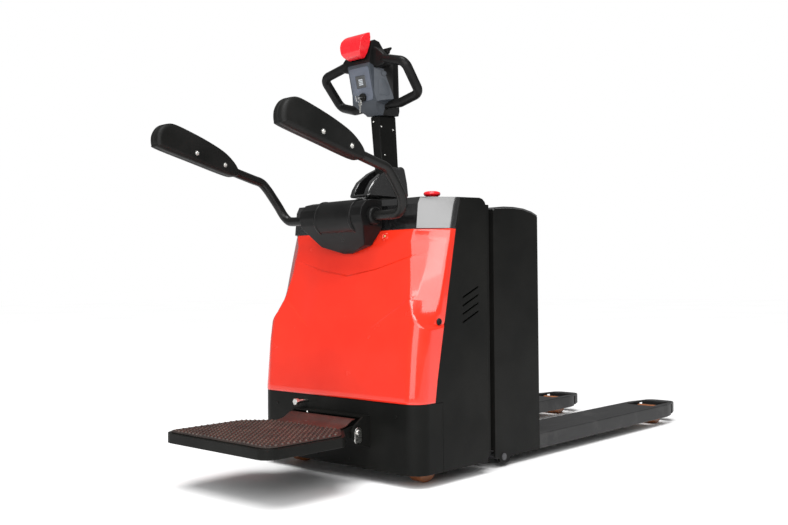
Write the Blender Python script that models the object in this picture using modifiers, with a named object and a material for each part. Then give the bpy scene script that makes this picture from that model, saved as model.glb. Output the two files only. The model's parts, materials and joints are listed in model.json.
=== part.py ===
"""Rider pallet truck with a fold-down platform, folding side arms and a tiller.

Metres, +Z up.  +X points from the operator's end to the fork tips and +Y is the
left side of someone looking towards the forks.  Dimensions below are written in
a drafting frame whose x = 0 is the operator-side face of the steel skirt; XC
moves them so that the origin lies on the floor under the middle of the truck.
"""
import bpy
import bmesh
import math
from mathutils import Vector, Matrix

# ------------------------------------------------------------------ driving dimensions
XC = 0.6785            # drafting x of the origin
HALF_W = 0.367         # half width of the steel chassis
SKIRT_Z0, SKIRT_Z1 = 0.041, 0.257
PLATE = 0.008          # chassis plate thickness
CORNER_R = 0.055       # vertical corner radius of the skirt
CH_REAR = 0.352        # rear edge of the chassis
BOX_X0, BOX_X1, BOX_HW = 0.427, 0.695, 0.340   # battery box
FORK_W, FORK_T, FORK_TOP, FORK_END = 0.184, 0.054, 0.086, 1.845
ROLLER_R, ROLLER_X = 0.040, 1.700
BOGIE_X, BOGIE_Z = 1.500, 0.062
LIFT = 0.115
STEER_X = 0.240
WHEEL_R, WHEEL_W = 0.115, 0.075
CASTOR_X, CASTOR_Y, CASTOR_TRAIL = 0.140, 0.279, 0.020
CASTOR_R, CASTOR_W = 0.055, 0.045
ARM_X, ARM_Z = 0.040, 0.845
DECK_X, DECK_Z = -0.055, 0.165
TILT_X, TILT_Z = 0.2735, 0.945
COL_LEAN = math.radians(3.86)
GAP = 0.0004

# ------------------------------------------------------------------ clean start
for ob in list(bpy.data.objects):
    bpy.data.objects.remove(ob, do_unlink=True)
model = bpy.data.collections.new("pallet_truck")
tools = bpy.data.collections.new("cutters")
bpy.context.scene.collection.children.link(model)
bpy.context.scene.collection.children.link(tools)


def material(name, colour, rough, metal=0.0):
    m = bpy.data.materials.new(name)
    m.use_nodes = True
    bsdf = m.node_tree.nodes["Principled BSDF"]
    bsdf.inputs["Base Color"].default_value = (*colour, 1.0)
    bsdf.inputs["Roughness"].default_value = rough
    bsdf.inputs["Metallic"].default_value = metal
    return m


MAT = {
    "red": material("cover_red", (0.83, 0.05, 0.02), 0.3),
    "black": material("chassis_black", (0.011, 0.011, 0.010), 0.4),
    "plastic": material("plastic_black", (0.012, 0.012, 0.012), 0.35),
    "grey": material("head_grey", (0.07, 0.08, 0.10), 0.5),
    "signal": material("signal_red", (0.75, 0.01, 0.015), 0.3),
    "fork": material("fork_grey", (0.08, 0.08, 0.08), 0.45),
    "steel": material("bright_steel", (0.6, 0.6, 0.6), 0.3, 1.0),
    "cast": material("cast_iron", (0.10, 0.10, 0.11), 0.6, 0.6),
    "alu": material("aluminium", (0.7, 0.7, 0.72), 0.35, 1.0),
    "pu": material("polyurethane", (0.30, 0.10, 0.03), 0.45),
    "rubber": material("rubber", (0.02, 0.016, 0.014), 0.7),
    "foam": material("arm_pad", (0.012, 0.012, 0.012), 0.5),
    "glass": material("display", (0.01, 0.012, 0.014), 0.12),
    "cell": material("battery_case", (0.10, 0.11, 0.13), 0.5),
}

# ------------------------------------------------------------------ pivots
PIVOT = {}


def pivot(name, x, y, z):
    e = bpy.data.objects.new(name, None)
    e.location = (x - XC, y, z)
    e.empty_display_size = 0.05
    model.objects.link(e)
    PIVOT[name] = e


pivot("steer_axis", STEER_X, 0, 0.25)
pivot("wheel_axis", STEER_X, 0, WHEEL_R)
pivot("tilt_axis", TILT_X, 0, TILT_Z)
pivot("lift_axis", 0.56, 0, 0.05)
pivot("lid_axis", 0.4268, 0, 0.8735)
pivot("deck_axis", DECK_X, 0, DECK_Z)
pivot("rocker_axis", 0.475, 0, 0.035)
for side, s in (("left", 1), ("right", -1)):
    pivot(side + "_arm_axis", ARM_X, s * 0.15, ARM_Z)
    pivot(side + "_castor_axis", CASTOR_X, s * CASTOR_Y, 0.2)
    pivot(side + "_castor_wheel_axis", CASTOR_X - CASTOR_TRAIL, s * CASTOR_Y, CASTOR_R)
    pivot(side + "_bogie_axis", BOGIE_X, s * 0.248, BOGIE_Z)
    pivot(side + "_roller_axis", ROLLER_X, s * 0.248, ROLLER_R)
PIVOT["tilt_axis"].parent = PIVOT["steer_axis"]
PIVOT["tilt_axis"].matrix_parent_inverse = Matrix.Translation(-PIVOT["steer_axis"].location)


# ------------------------------------------------------------------ shape helpers
def place(ob, mat, rides=None):
    ob.data.materials.clear()
    ob.data.materials.append(MAT[mat])
    if ob.name not in model.objects:
        model.objects.link(ob)
    if rides:
        parent = PIVOT[rides]
        off = parent.location.copy()
        ob.parent = parent
        ob.matrix_parent_inverse = Matrix.Translation(-off)
    return ob


def smooth(ob, angle=35):
    ob.data.shade_smooth()
    ob.data.set_sharp_from_angle(angle=math.radians(angle))
    return ob


def mesh_object(name, bm):
    bmesh.ops.recalc_face_normals(bm, faces=bm.faces)
    me = bpy.data.meshes.new(name)
    bm.to_mesh(me)
    bm.free()
    return bpy.data.objects.new(name, me)


def bevel(ob, width, segments=1, angle=40):
    m = ob.modifiers.new("edges", "BEVEL")
    m.width = width
    m.segments = segments
    m.limit_method = "ANGLE"
    m.angle_limit = math.radians(angle)
    return ob


def box(name, x0, x1, y0, y1, z0, z1, mat="black", rides=None, edge=0.0, seg=1):
    bm = bmesh.new()
    bmesh.ops.create_cube(bm, size=1.0)
    bmesh.ops.scale(bm, vec=(x1 - x0, y1 - y0, z1 - z0), verts=bm.verts)
    ob = mesh_object(name, bm)
    ob.location = ((x0 + x1) / 2 - XC, (y0 + y1) / 2, (z0 + z1) / 2)
    if edge:
        bevel(ob, edge, seg)
    return place(ob, mat, rides)


def rod(name, a, b, r, mat="steel", rides=None, n=20, r2=None, edge=0.0):
    a, b = Vector(a), Vector(b)
    bm = bmesh.new()
    bmesh.ops.create_cone(bm, cap_ends=True, segments=n, radius1=r,
                          radius2=r if r2 is None else r2, depth=(b - a).length)
    ob = mesh_object(name, bm)
    ob.location = (a + b) / 2 - Vector((XC, 0, 0))
    ob.rotation_mode = "QUATERNION"
    ob.rotation_quaternion = Vector((0, 0, 1)).rotation_difference(b - a)
    if edge:
        bevel(ob, edge)
    place(ob, mat, rides)
    return smooth(ob)


TURN = {
    "XY": Matrix(((1, 0, 0), (0, 1, 0), (0, 0, 1))),
    "XZ": Matrix(((1, 0, 0), (0, 0, -1), (0, 1, 0))),
    "YZ": Matrix(((0, 0, 1), (1, 0, 0), (0, 1, 0))),
}


def to_mesh(ob):
    """A curve object made a mesh object of the same name and place, caps welded."""
    bpy.context.view_layer.update()
    name, matrix = ob.name, ob.matrix_world.copy()
    graph = bpy.context.evaluated_depsgraph_get()
    me = bpy.data.meshes.new_from_object(ob.evaluated_get(graph))
    bpy.data.objects.remove(ob, do_unlink=True)
    bm = bmesh.new()
    bm.from_mesh(me)
    bmesh.ops.remove_doubles(bm, verts=bm.verts, dist=1e-5)
    bmesh.ops.recalc_face_normals(bm, faces=bm.faces)
    bm.to_mesh(me)
    bm.free()
    new = bpy.data.objects.new(name, me)
    new.matrix_world = matrix
    return new


def prism(name, points, plane, lo, hi, mat="black", rides=None, edge=0.0, seg=1, holes=()):
    """A flat outline in a drafting plane, extruded from lo to hi across it."""
    cu = bpy.data.curves.new(name, "CURVE")
    cu.dimensions = "2D"
    cu.fill_mode = "BOTH"
    cu.extrude = (hi - lo) / 2
    for loop in (points, *holes):
        sp = cu.splines.new("POLY")
        sp.points.add(len(loop) - 1)
        for p, (a, b) in zip(sp.points, loop):
            p.co = (a, b, 0, 1)
        sp.use_cyclic_u = True
    ob = bpy.data.objects.new(name, cu)
    mid = (lo + hi) / 2
    ob.rotation_mode = "QUATERNION"
    ob.rotation_quaternion = TURN[plane].to_quaternion()
    ob.location = {"XY": (-XC, 0, mid), "XZ": (-XC, mid, 0), "YZ": (mid - XC, 0, 0)}[plane]
    tools.objects.link(ob)
    ob = to_mesh(ob)
    if edge:
        bevel(ob, edge, seg)
    return place(ob, mat, rides)


def tube(name, points, r, mat="black", rides=None, res=2):
    cu = bpy.data.curves.new(name, "CURVE")
    cu.dimensions = "3D"
    cu.bevel_depth = r
    cu.bevel_resolution = res
    cu.use_fill_caps = True
    sp = cu.splines.new("POLY")
    sp.points.add(len(points) - 1)
    for p, q in zip(sp.points, points):
        p.co = (q[0] - XC, q[1], q[2], 1)
    ob = bpy.data.objects.new(name, cu)
    tools.objects.link(ob)
    ob = to_mesh(ob)
    place(ob, mat, rides)
    return smooth(ob, 50)


def turned(name, profile, centre, axis="Z", mat="steel", rides=None, steps=24):
    """profile is (radius, height) pairs, top to bottom down the outer side."""
    bm = bmesh.new()
    vs = [bm.verts.new((r, 0, h)) for r, h in profile]
    for a, b in zip(vs, vs[1:]):
        bm.edges.new((a, b))
    if profile[0][0] > 0:
        bm.edges.new((vs[-1], vs[0]))
    me = bpy.data.meshes.new(name)
    bm.to_mesh(me)
    bm.free()
    ob = bpy.data.objects.new(name, me)
    m = ob.modifiers.new("turn", "SCREW")
    m.angle = 2 * math.pi
    m.steps = m.render_steps = steps
    m.use_merge_vertices = True
    m.merge_threshold = 0.00005
    m.use_smooth_shade = True
    ob.location = (centre[0] - XC, centre[1], centre[2])
    ob.rotation_mode = "QUATERNION"
    aim = {"X": Vector((1, 0, 0)), "Y": Vector((0, 1, 0)), "Z": Vector((0, 0, 1))}[axis]
    ob.rotation_quaternion = Vector((0, 0, 1)).rotation_difference(aim)
    return place(ob, mat, rides)


def as_tool(ob):
    for c in list(ob.users_collection):
        c.objects.unlink(ob)
    tools.objects.link(ob)
    ob.hide_render = True
    ob.display_type = "WIRE"
    return ob


def cut(ob, *others):
    for other in others:
        m = ob.modifiers.new("cut", "BOOLEAN")
        m.operation = "DIFFERENCE"
        m.object = as_tool(other)
    return ob


def join(ob, *others):
    for other in others:
        m = ob.modifiers.new("join", "BOOLEAN")
        m.operation = "UNION"
        m.object = as_tool(other)
    return ob


def keep(ob, other):
    m = ob.modifiers.new("keep", "BOOLEAN")
    m.operation = "INTERSECT"
    m.object = as_tool(other)
    return ob


def arc(cx, cy, r, a0, a1, n):
    return [(cx + r * math.cos(math.radians(a0 + (a1 - a0) * i / n)),
             cy + r * math.sin(math.radians(a0 + (a1 - a0) * i / n))) for i in range(n + 1)]


def rounded(points, radius, n=3):
    """Closed 2D outline with every corner rounded by the same radius (or a list of radii)."""
    out = []
    k = len(points)
    radii = radius if isinstance(radius, (list, tuple)) else [radius] * k
    for i, r in enumerate(radii):
        p0, p, p1 = (Vector(points[j % k]) for j in (i - 1, i, i + 1))
        if r <= 0:
            out.append(tuple(p))
            continue
        u, v = (p0 - p).normalized(), (p1 - p).normalized()
        half = math.acos(max(-1, min(1, u.dot(v)))) / 2
        d = r / math.tan(half)
        a, b = p + u * d, p + v * d
        c = p + (u + v).normalized() * (r / math.sin(half))
        a0 = math.atan2(a.y - c.y, a.x - c.x)
        a1 = math.atan2(b.y - c.y, b.x - c.x)
        da = (a1 - a0 + math.pi) % (2 * math.pi) - math.pi
        out += [(c.x + r * math.cos(a0 + da * j / n), c.y + r * math.sin(a0 + da * j / n))
                for j in range(n + 1)]
    return out


def through(points, n):
    """Catmull-Rom curve through 3D points, n steps a span."""
    p = [Vector(q) for q in points]
    p = [p[0] * 2 - p[1]] + p + [p[-1] * 2 - p[-2]]
    out = []
    for i in range(1, len(p) - 2):
        a, b, c, d = p[i - 1:i + 3]
        for j in range(n):
            t = j / n
            out.append(0.5 * ((2 * b) + (c - a) * t + (2 * a - 5 * b + 4 * c - d) * t * t
                              + (3 * b - a - 3 * c + d) * t ** 3))
    return out + [p[-2]]


def bends(points, r, n=4):
    """Straight runs through 3D points, each corner a circular bend of radius r."""
    p = [Vector(q) for q in points]
    out = [p[0]]
    for a, b, c in zip(p, p[1:], p[2:]):
        u, v = (a - b).normalized(), (c - b).normalized()
        half = math.acos(u.dot(v)) / 2
        d = r / math.tan(half)
        s, e = b + u * d, b + v * d
        m = b + (u + v).normalized() * (r / math.sin(half))
        for j in range(n + 1):
            t = j / n
            q = (s - m).slerp(e - m, t)
            out.append(m + q.normalized() * r)
    return out + [p[-1]]


def interp(x, table):
    if x <= table[0][0]:
        return table[0][1]
    for (a, fa), (b, fb) in zip(table, table[1:]):
        if x <= b:
            return fa + (fb - fa) * (x - a) / (b - a)
    return table[-1][1]


# ================================================================== chassis steelwork
# front skirt: a plate bent round both front corners
half = [(0.118, HALF_W)] + arc(CORNER_R, HALF_W - CORNER_R, CORNER_R, 90, 180, 5)
outer = half + [(x, -y) for x, y in reversed(half)]
r_in = CORNER_R - PLATE
half_in = [(0.118, HALF_W - PLATE)] + arc(CORNER_R, HALF_W - CORNER_R, r_in, 90, 180, 5)
inner = half_in + [(x, -y) for x, y in reversed(half_in)]
prism("front_skirt", outer + inner[::-1], "XY", SKIRT_Z0, SKIRT_Z1)

# side plates, with the slanting front edge that meets the red cover
side_outline = [(0.1185, SKIRT_Z0), (CH_REAR, SKIRT_Z0), (CH_REAR, 0.876), (0.346, 0.893),
                (0.333, 0.9025), (0.318, 0.9060), (0.2185, 0.9020), (0.1915, 0.795),
                (0.0955, 0.328), (0.0845, SKIRT_Z1 + GAP), (0.1185, SKIRT_Z1 + GAP)]
for side, s in (("left", 1), ("right", -1)):
    lo, hi = sorted((s * HALF_W, s * (HALF_W - PLATE)))
    plate = prism(side + "_side_plate", side_outline, "XZ", lo, hi)
    for k in range(4):
        z = 0.497 + 0.0265 * k
        slot = [(0.222, z), (0.306, z + 0.035), (0.306, z + 0.041), (0.222, z + 0.006)]
        cut(plate, prism("vent_slot", slot, "XZ", lo - 0.01, hi + 0.01))

# deck plate that carries the drive unit and the castors
base = prism("base_plate", rounded([(0.0085, -0.3585), (0.339, -0.3585), (0.339, 0.3585), (0.0085, 0.3585)],
                                   [0.047, 0, 0, 0.047], 3),
             "XY", 0.243, 0.251, holes=[arc(STEER_X, 0, 0.0980, 0, 345, 23)])
turned("steering_bearing", [(0.0965, 0.0170), (0.0965, 0.0), (0.0885, 0.0), (0.0885, 0.0170)],
       (STEER_X, 0, 0.2430), "Z", "steel", steps=24)

# rear bulkhead and the two guide rails of the lifting frame
box("bulkhead", 0.3395, 0.3475, -0.3585, 0.3585, 0.2515, 0.872)
for s in (1, -1):
    y0, y1 = sorted((s * 0.300, s * 0.3345))
    join(bpy.data.objects["bulkhead"],
         prism("guide_rail", [(0.3450, y0), (0.4100, y0), (0.4100, y1), (0.3450, y1)], "XY", 0.048, 0.890))

# ------------------------------------------------------------------ red front cover
FRONT = [(0.2575, -0.004), (0.42, 0.011), (0.508, 0.025), (0.56, 0.041), (0.62, 0.056),
         (0.72, 0.078), (0.80, 0.090), (0.83, 0.094)]
INNER_Y = [(0.2575, 0.311), (0.45, 0.311), (0.497, 0.335), (0.53, 0.316), (0.575, 0.294),
           (0.668, 0.274), (0.76, 0.262), (0.81, 0.277), (0.83, 0.280)]


def front_x(z):
    return interp(z, FRONT)


def outer_x(z):
    return 0.089 + 0.2578 * (z - 0.51)


def border_x(z):
    return interp(z, [(0.2575, 0.0840), (0.328, 0.0950), (0.795, 0.1910), (0.893, 0.2160)])


def cover_half(z):
    """Plan of the cover at one height, from the side plate round to the centre."""
    f, b = front_x(z), border_x(z) - 0.0008
    if z < 0.50:
        return [(b, 0.3665), (f + 0.055, 0.3665), (f + 0.0165, 0.3505), (f, 0.3115), (f - 0.001, 0.0)]
    o = outer_x(z)
    t = min(1.0, (z - 0.50) / 0.05)
    p2 = (o * t + (f + 0.0165) * (1 - t), 0.357 * t + 0.3505 * (1 - t))
    return [(b, 0.3665), (min(p2[0] + 0.012 + 0.026 * (1 - t), b - 0.004), 0.3665), p2,
            (f, interp(z, INNER_Y)), (f - 0.001, 0.0)]


def strip_mesh(name, rows):
    bm = bmesh.new()
    grid = [[bm.verts.new(p) for p in row] for row in rows]
    for r0, r1 in zip(grid, grid[1:]):
        for i in range(len(r0) - 1):
            bm.faces.new((r0[i], r0[i + 1], r1[i + 1], r1[i]))
    me = bpy.data.meshes.new(name)
    bm.to_mesh(me)
    bm.free()
    return bpy.data.objects.new(name, me)


rows = []
for z in (0.2575, 0.34, 0.42, 0.485, 0.53, 0.575, 0.62, 0.668, 0.72, 0.76, 0.80):
    h = cover_half(z)
    rows.append([(x - XC, y, z) for x, y in h] + [(x - XC, -y, z) for x, y in reversed(h[:-1])])
cover = strip_mesh("front_cover", rows)
sol = cover.modifiers.new("wall", "SOLIDIFY")
sol.thickness = 0.004
sol.offset = -1.0
sol.use_even_offset = False
place(cover, "red")


# ------------------------------------------------------------------ black top cover
def loft(name, loops, mat="black", rides=None):
    """Closed solid through equal-length closed loops of (x, y, z), capped at both ends."""
    bm = bmesh.new()
    rings = [[bm.verts.new((x - XC, y, z)) for x, y, z in loop] for loop in loops]
    n = len(rings[0])
    for a, b in zip(rings, rings[1:]):
        for i in range(n):
            j = (i + 1) % n
            bm.faces.new((a[i], a[j], b[j], b[i]))
    bm.faces.new(list(reversed(rings[0])))
    bm.faces.new(rings[-1])
    bmesh.ops.recalc_face_normals(bm, faces=bm.faces)
    bmesh.ops.triangulate(bm, faces=bm.faces)
    return place(mesh_object(name, bm), mat, rides)


def mirrored(pts, z):
    return [(x, y, z) for x, y in pts] + [(x, -y, z) for x, y in reversed(pts)]


def top_loop(z, f, o, b):
    """Plan of the top cover: the wide forward part with its facets, and the part between the side plates."""
    return mirrored([(0.3380, 0.3575), (b, 0.3575), (b, 0.3655), (o + 0.014, 0.3655), (o, 0.3570), (f, 0.2870)], z)


def hollow_loop(z, f, o, wall=0.004):
    return mirrored([(0.3380 - wall, 0.3575 - wall), (o + 0.025, 0.3575 - wall), (o + wall, 0.3570 - wall), (f + wall, 0.2860)], z)


fore = loft("top_cover", [top_loop(0.8005, 0.0915, 0.163, 0.1900), top_loop(0.8800, 0.1000, 0.190, 0.2120),
                          top_loop(0.9020, 0.1120, 0.199, 0.2160)])
cut(fore, loft("top_hollow", [hollow_loop(0.7900, 0.0900, 0.1600), hollow_loop(0.8960, 0.1060, 0.1960)]))
cut(fore, rod("spindle_hole", (STEER_X, 0, 0.85), (STEER_X, 0, 0.95), 0.066, n=24),
    rod("e_stop_well", (0.190, -0.270, 0.85), (0.190, -0.270, 0.95), 0.0340, n=24))

# ------------------------------------------------------------------ housing of the side arms
rear_line = [(0.0885, 0.800), (0.0775, 0.727)]
snout = prism("arm_housing", [(0.0880, 0.8990), (0.045, 0.9005), (0.012, 0.893), (-0.010, 0.872), (-0.0155, 0.848),
                              (-0.010, 0.822), (0.010, 0.797), (0.052, 0.745), (0.0700, 0.7275)] + rear_line[::-1],
              "XZ", -0.145, 0.145, "plastic")
shield = prism("shield", [(-0.145, 0.91), (-0.145, 0.812), (-0.103, 0.752), (-0.02, 0.727), (0.02, 0.727),
                          (0.103, 0.752), (0.145, 0.812), (0.145, 0.91)], "YZ", -0.05, 0.12)
keep(snout, shield)
cut(snout, rod("arm_bore", (ARM_X, -0.2, ARM_Z), (ARM_X, 0.2, ARM_Z), 0.0165, n=20))

# ------------------------------------------------------------------ side arms
for side, s in (("left", 1), ("right", -1)):
    path = [(ARM_X, s * 0.006, ARM_Z), (ARM_X, s * 0.235, ARM_Z)]
    curve = through([(0.0400, s * 0.2350, 0.8450), (0.0395, s * 0.2600, 0.8490), (0.0330, s * 0.2800, 0.8680),
                     (0.0170, s * 0.2895, 0.8990), (-0.0050, s * 0.2920, 0.9270), (-0.0300, s * 0.2935, 0.9560),
                     (-0.0560, s * 0.2950, 0.9780), (-0.0900, s * 0.2960, 0.9868)], 2)
    path = [Vector(path[0])] + [Vector(p) for p in curve] + [Vector((-0.330, s * 0.2960, 1.0438))]
    tube(side + "_arm_tube", path, 0.0160, "black", side + "_arm_axis")
    pad_line = [(-0.172, 0.9945), (-0.205, 0.9915), (-0.470, 1.0545), (-0.4865, 1.0665), (-0.4845, 1.100),
                (-0.468, 1.1245), (-0.445, 1.1365), (-0.415, 1.1370), (-0.285, 1.0960), (-0.225, 1.0690), (-0.185, 1.0380),
                (-0.170, 1.0160)]
    pad = prism(side + "_arm_pad", pad_line, "XZ", s * 0.296 - 0.0260, s * 0.296 + 0.0260, "foam",
                side + "_arm_axis", edge=0.010, seg=2)
    cut(pad, rod("pad_bore", (-0.09, s * 0.296, 0.9868), (-0.334, s * 0.296, 1.04475), 0.0166, n=20))

# ------------------------------------------------------------------ platform
box("platform_bracket", -0.030, -GAP, -0.165, 0.165, 0.206, 0.211)
bracket = bpy.data.objects["platform_bracket"]
ear = [(-GAP, 0.110), (-0.050, 0.125), (-0.074, 0.145), (-0.078, 0.168), (-0.066, 0.186), (-0.030, 0.2095), (-GAP, 0.2095)]
join(bracket, prism("ear_r", ear, "XZ", -0.165, -0.157), prism("ear_l", ear, "XZ", 0.157, 0.165),
     box("back_web", -0.0080, -GAP, -0.160, 0.160, 0.112, 0.209))
cut(bracket, rod("pin_bore", (DECK_X, -0.2, DECK_Z), (DECK_X, 0.2, DECK_Z), 0.0083, n=16))
# the pin and the keeper plate welded to its outer end
pin = rod("platform_hinge_pin", (DECK_X, -0.1735, DECK_Z), (DECK_X, 0.1735, DECK_Z), 0.0080, "steel", n=16)
join(pin, prism("hinge_keeper", rounded([(-0.070, 0.132), (-0.040, 0.132), (-0.040, 0.1795), (-0.070, 0.1795)],
                                        [0.006, 0.006, 0.014, 0.014], 3), "XZ", -0.1690, -0.1654, "steel"))
stop = rod("platform_stop_bolt", (-GAP, 0.127, 0.236), (-0.044, 0.127, 0.236), 0.0060, "steel", n=12)
join(stop, rod("stop_head", (-0.043, 0.127, 0.236), (-0.055, 0.127, 0.236), 0.0115, n=6))

deck_out = rounded([(-0.488, -0.250), (-0.190, -0.250), (-0.100, -0.150), (-0.100, 0.150), (-0.190, 0.250), (-0.488, 0.250)],
                   [0.045, 0.05, 0.01, 0.01, 0.05, 0.045], 4)
deck = prism("platform_deck", deck_out, "XY", 0.1470, 0.1770, "black", "deck_axis", edge=0.004)
# pressed tray: a 4 mm top sheet and rim, open underneath
cut(deck, prism("deck_under", rounded([(-0.483, -0.245), (-0.192, -0.245), (-0.134, -0.172), (-0.134, 0.172), (-0.192, 0.245), (-0.483, 0.245)],
                                      [0.040, 0.045, 0.01, 0.01, 0.045, 0.040], 3), "XY", 0.1300, 0.1730))
knuckle = [(-0.130, 0.1480)] + [(DECK_X + 0.018 * math.cos(math.radians(a)), DECK_Z + 0.018 * math.sin(math.radians(a)))
                                for a in (-100, -60, -20, 20, 60, 95)] + [(-0.100, 0.1765), (-0.130, 0.1765)]
join(deck, prism("knuckle", knuckle, "XZ", -0.150, 0.150, rides="deck_axis"))
cut(deck, rod("knuckle_bore", (DECK_X, -0.2, DECK_Z), (DECK_X, 0.2, DECK_Z), 0.0083, n=16, rides="deck_axis"))
mat_out = rounded([(-0.478, -0.240), (-0.196, -0.240), (-0.112, -0.147), (-0.112, 0.147), (-0.196, 0.240), (-0.478, 0.240)],
                  [0.037, 0.045, 0.004, 0.004, 0.045, 0.037], 3)
tread = prism("platform_mat", mat_out, "XY", 0.1774, 0.1850, "rubber", "deck_axis")
riser = [(-0.150, 0.1774), (-0.100, 0.1774), (-0.074, 0.1870), (-0.060, 0.1990), (-0.0655, 0.2040), (-0.082, 0.1950),
         (-0.104, 0.1878), (-0.150, 0.1850)]
join(tread, prism("riser", riser, "XZ", -0.147, 0.147, rides="deck_axis"))

# ------------------------------------------------------------------ emergency stop
rod("e_stop_base", (0.190, -0.270, 0.8600), (0.190, -0.270, 0.8800), 0.0110, "plastic", n=16)
join(bpy.data.objects["e_stop_base"], rod("e_stop_cup", (0.190, -0.270, 0.8760), (0.190, -0.270, 0.8840), 0.0330, n=24),
     rod("e_stop_neck", (0.190, -0.270, 0.8830), (0.190, -0.270, 0.8880), 0.0160, n=20))
pivot("e_stop_axis", 0.190, -0.270, 0.92)
turned("e_stop_button", [(0.0, 0.0370), (0.018, 0.0365), (0.0265, 0.0330), (0.0275, 0.0280), (0.0265, 0.0230),
                         (0.014, 0.0160), (0.012, 0.0050), (0.0, 0.0050)],
       (0.190, -0.270, 0.8880), "Z", "signal", "e_stop_axis", steps=20)

# ------------------------------------------------------------------ hydraulics and control inside the hood
pump = rod("hydraulic_unit", (0.085, 0.045, 0.300), (0.085, -0.250, 0.300), 0.042, "cast", n=20)
join(pump, box("pump_foot", 0.055, 0.115, -0.200, -0.080, 0.2515, 0.285),
     box("oil_tank", 0.030, 0.120, 0.040, 0.300, 0.2515, 0.400))
box("motor_controller", 0.305, 0.3385, -0.150, 0.150, 0.450, 0.680, "alu", edge=0.003)
rod("lift_cylinder", (0.3850, 0, 0.2600), (0.3850, 0, 0.5600), 0.0300, "black", n=20)
foot = box("cylinder_foot", 0.3475 + GAP, 0.4100, -0.060, 0.060, 0.2600, 0.2720)
join(bpy.data.objects["lift_cylinder"], foot)
cut(bpy.data.objects["lift_cylinder"], rod("cylinder_bore", (0.3850, 0, 0.2800), (0.3850, 0, 0.6500), 0.0185, n=20))

# ------------------------------------------------------------------ drive unit, turning with the tiller
gear = rod("drive_gearbox", (STEER_X, 0, 0.2340), (STEER_X, 0, 0.2620), 0.0878, "cast", "steer_axis", n=24)
gear_case = prism("gear_case", rounded([(STEER_X - 0.045, 0.060), (STEER_X + 0.045, 0.060), (STEER_X + 0.060, 0.2405),
                                        (STEER_X - 0.060, 0.2405)], [0.04, 0.04, 0.004, 0.004], 4),
                  "XZ", 0.0445, 0.0800, rides="steer_axis")
join(gear, gear_case, box("gear_neck", STEER_X - 0.055, STEER_X + 0.055, -0.030, 0.0800, 0.2335, 0.2400))
motor = rod("drive_motor", (STEER_X, 0, 0.2625), (STEER_X, 0, 0.4700), 0.0620, "cast", "steer_axis", n=24, edge=0.004)
spindle = rod("steering_spindle", (STEER_X, 0, 0.4705), (STEER_X, 0, 0.8950), 0.0240, "black", "steer_axis", n=20)
join(spindle, rod("spindle_flange", (STEER_X, 0, 0.8940), (STEER_X, 0, 0.9190), 0.0590, n=24, r2=0.056),
     rod("spindle_foot", (STEER_X, 0, 0.4705), (STEER_X, 0, 0.4820), 0.0500, n=20))
hood_line = [(0.1220, 0.9200), (0.3180, 0.9200), (0.3330, 0.9330), (0.3260, 0.9800), (0.3130, 1.0280),
             (0.3000, 1.0380), (0.2820, 1.0300), (0.2550, 1.0330), (0.2050, 1.0100), (0.1550, 0.9760),
             (0.1340, 0.9480)]
hood = prism("tiller_hood", hood_line, "XZ", -0.0470, 0.0470, "plastic", "steer_axis", edge=0.006)
slot_line = [(0.0700, 0.9400), (0.1500, 0.9260), (0.2950, 0.9240), (0.3050, 0.9450), (0.3230, 0.9850), (0.3400, 1.0500),
             (0.2000, 1.1000), (0.0500, 1.0500)]
cut(hood, prism("hood_slot", slot_line, "XZ", -0.0225, 0.0225),
    rod("hood_bore", (TILT_X, -0.08, TILT_Z), (TILT_X, 0.08, TILT_Z), 0.0083, n=16))
rod("tiller_pivot_pin", (TILT_X, -0.0500, TILT_Z), (TILT_X, 0.0500, TILT_Z), 0.0080, "steel", "steer_axis", n=16)

turned("drive_wheel_hub", [(0.0, 0.0440), (0.0400, 0.0440), (0.0480, 0.0300), (0.0850, 0.0300), (0.0895, 0.0360), (0.0895, -0.0360),
                           (0.0850, -0.0300), (0.0480, -0.0340), (0.0, -0.0340)],
       (STEER_X, 0, WHEEL_R), "Y", "cast", "wheel_axis", steps=28)
turned("drive_wheel_tyre", [(WHEEL_R - 0.004, 0.0375), (WHEEL_R, 0.0330), (WHEEL_R, -0.0330), (WHEEL_R - 0.004, -0.0375),
                            (0.0899, -0.0375), (0.0899, 0.0375)],
       (STEER_X, 0, WHEEL_R), "Y", "rubber", "wheel_axis", steps=36)

# ------------------------------------------------------------------ castors
for side, s in (("left", 1), ("right", -1)):
    y = s * CASTOR_Y
    wx = CASTOR_X - CASTOR_TRAIL
    fork = rod(side + "_castor_fork", (CASTOR_X, y, 0.1160), (CASTOR_X, y, 0.1300), 0.0300, "cast",
               side + "_castor_axis", n=20)
    cheek = [(wx - 0.012, 0.043), (wx + 0.012, 0.043), (wx + 0.016, 0.062), (CASTOR_X + 0.026, 0.1165), (CASTOR_X + 0.026, 0.1230),
             (CASTOR_X - 0.030, 0.1230), (wx - 0.014, 0.080)]
    join(fork,
         prism("cheek_a", cheek, "XZ", y + 0.0240, y + 0.0290), prism("cheek_b", cheek, "XZ", y - 0.0290, y - 0.0240),
         box("crown", CASTOR_X - 0.030, CASTOR_X + 0.026, y - 0.0285, y + 0.0285, 0.1165, 0.1235),
         rod("stem", (CASTOR_X, y, 0.1290), (CASTOR_X, y, 0.2400), 0.0150, n=16),
         rod("top_race", (CASTOR_X, y, 0.2300), (CASTOR_X, y, 0.2426), 0.0330, n=20),
         rod("castor_axle", (wx, y - 0.0280, CASTOR_R), (wx, y + 0.0280, CASTOR_R), 0.0060, n=12))
    turned(side + "_castor_wheel", [(CASTOR_R - 0.004, 0.0225), (CASTOR_R, 0.0180), (CASTOR_R, -0.0180), (CASTOR_R - 0.004, -0.0225),
                                    (0.0062, -0.0225), (0.0062, 0.0225)],
           (wx, y, CASTOR_R), "Y", "pu", side + "_castor_wheel_axis", steps=24)

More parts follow.
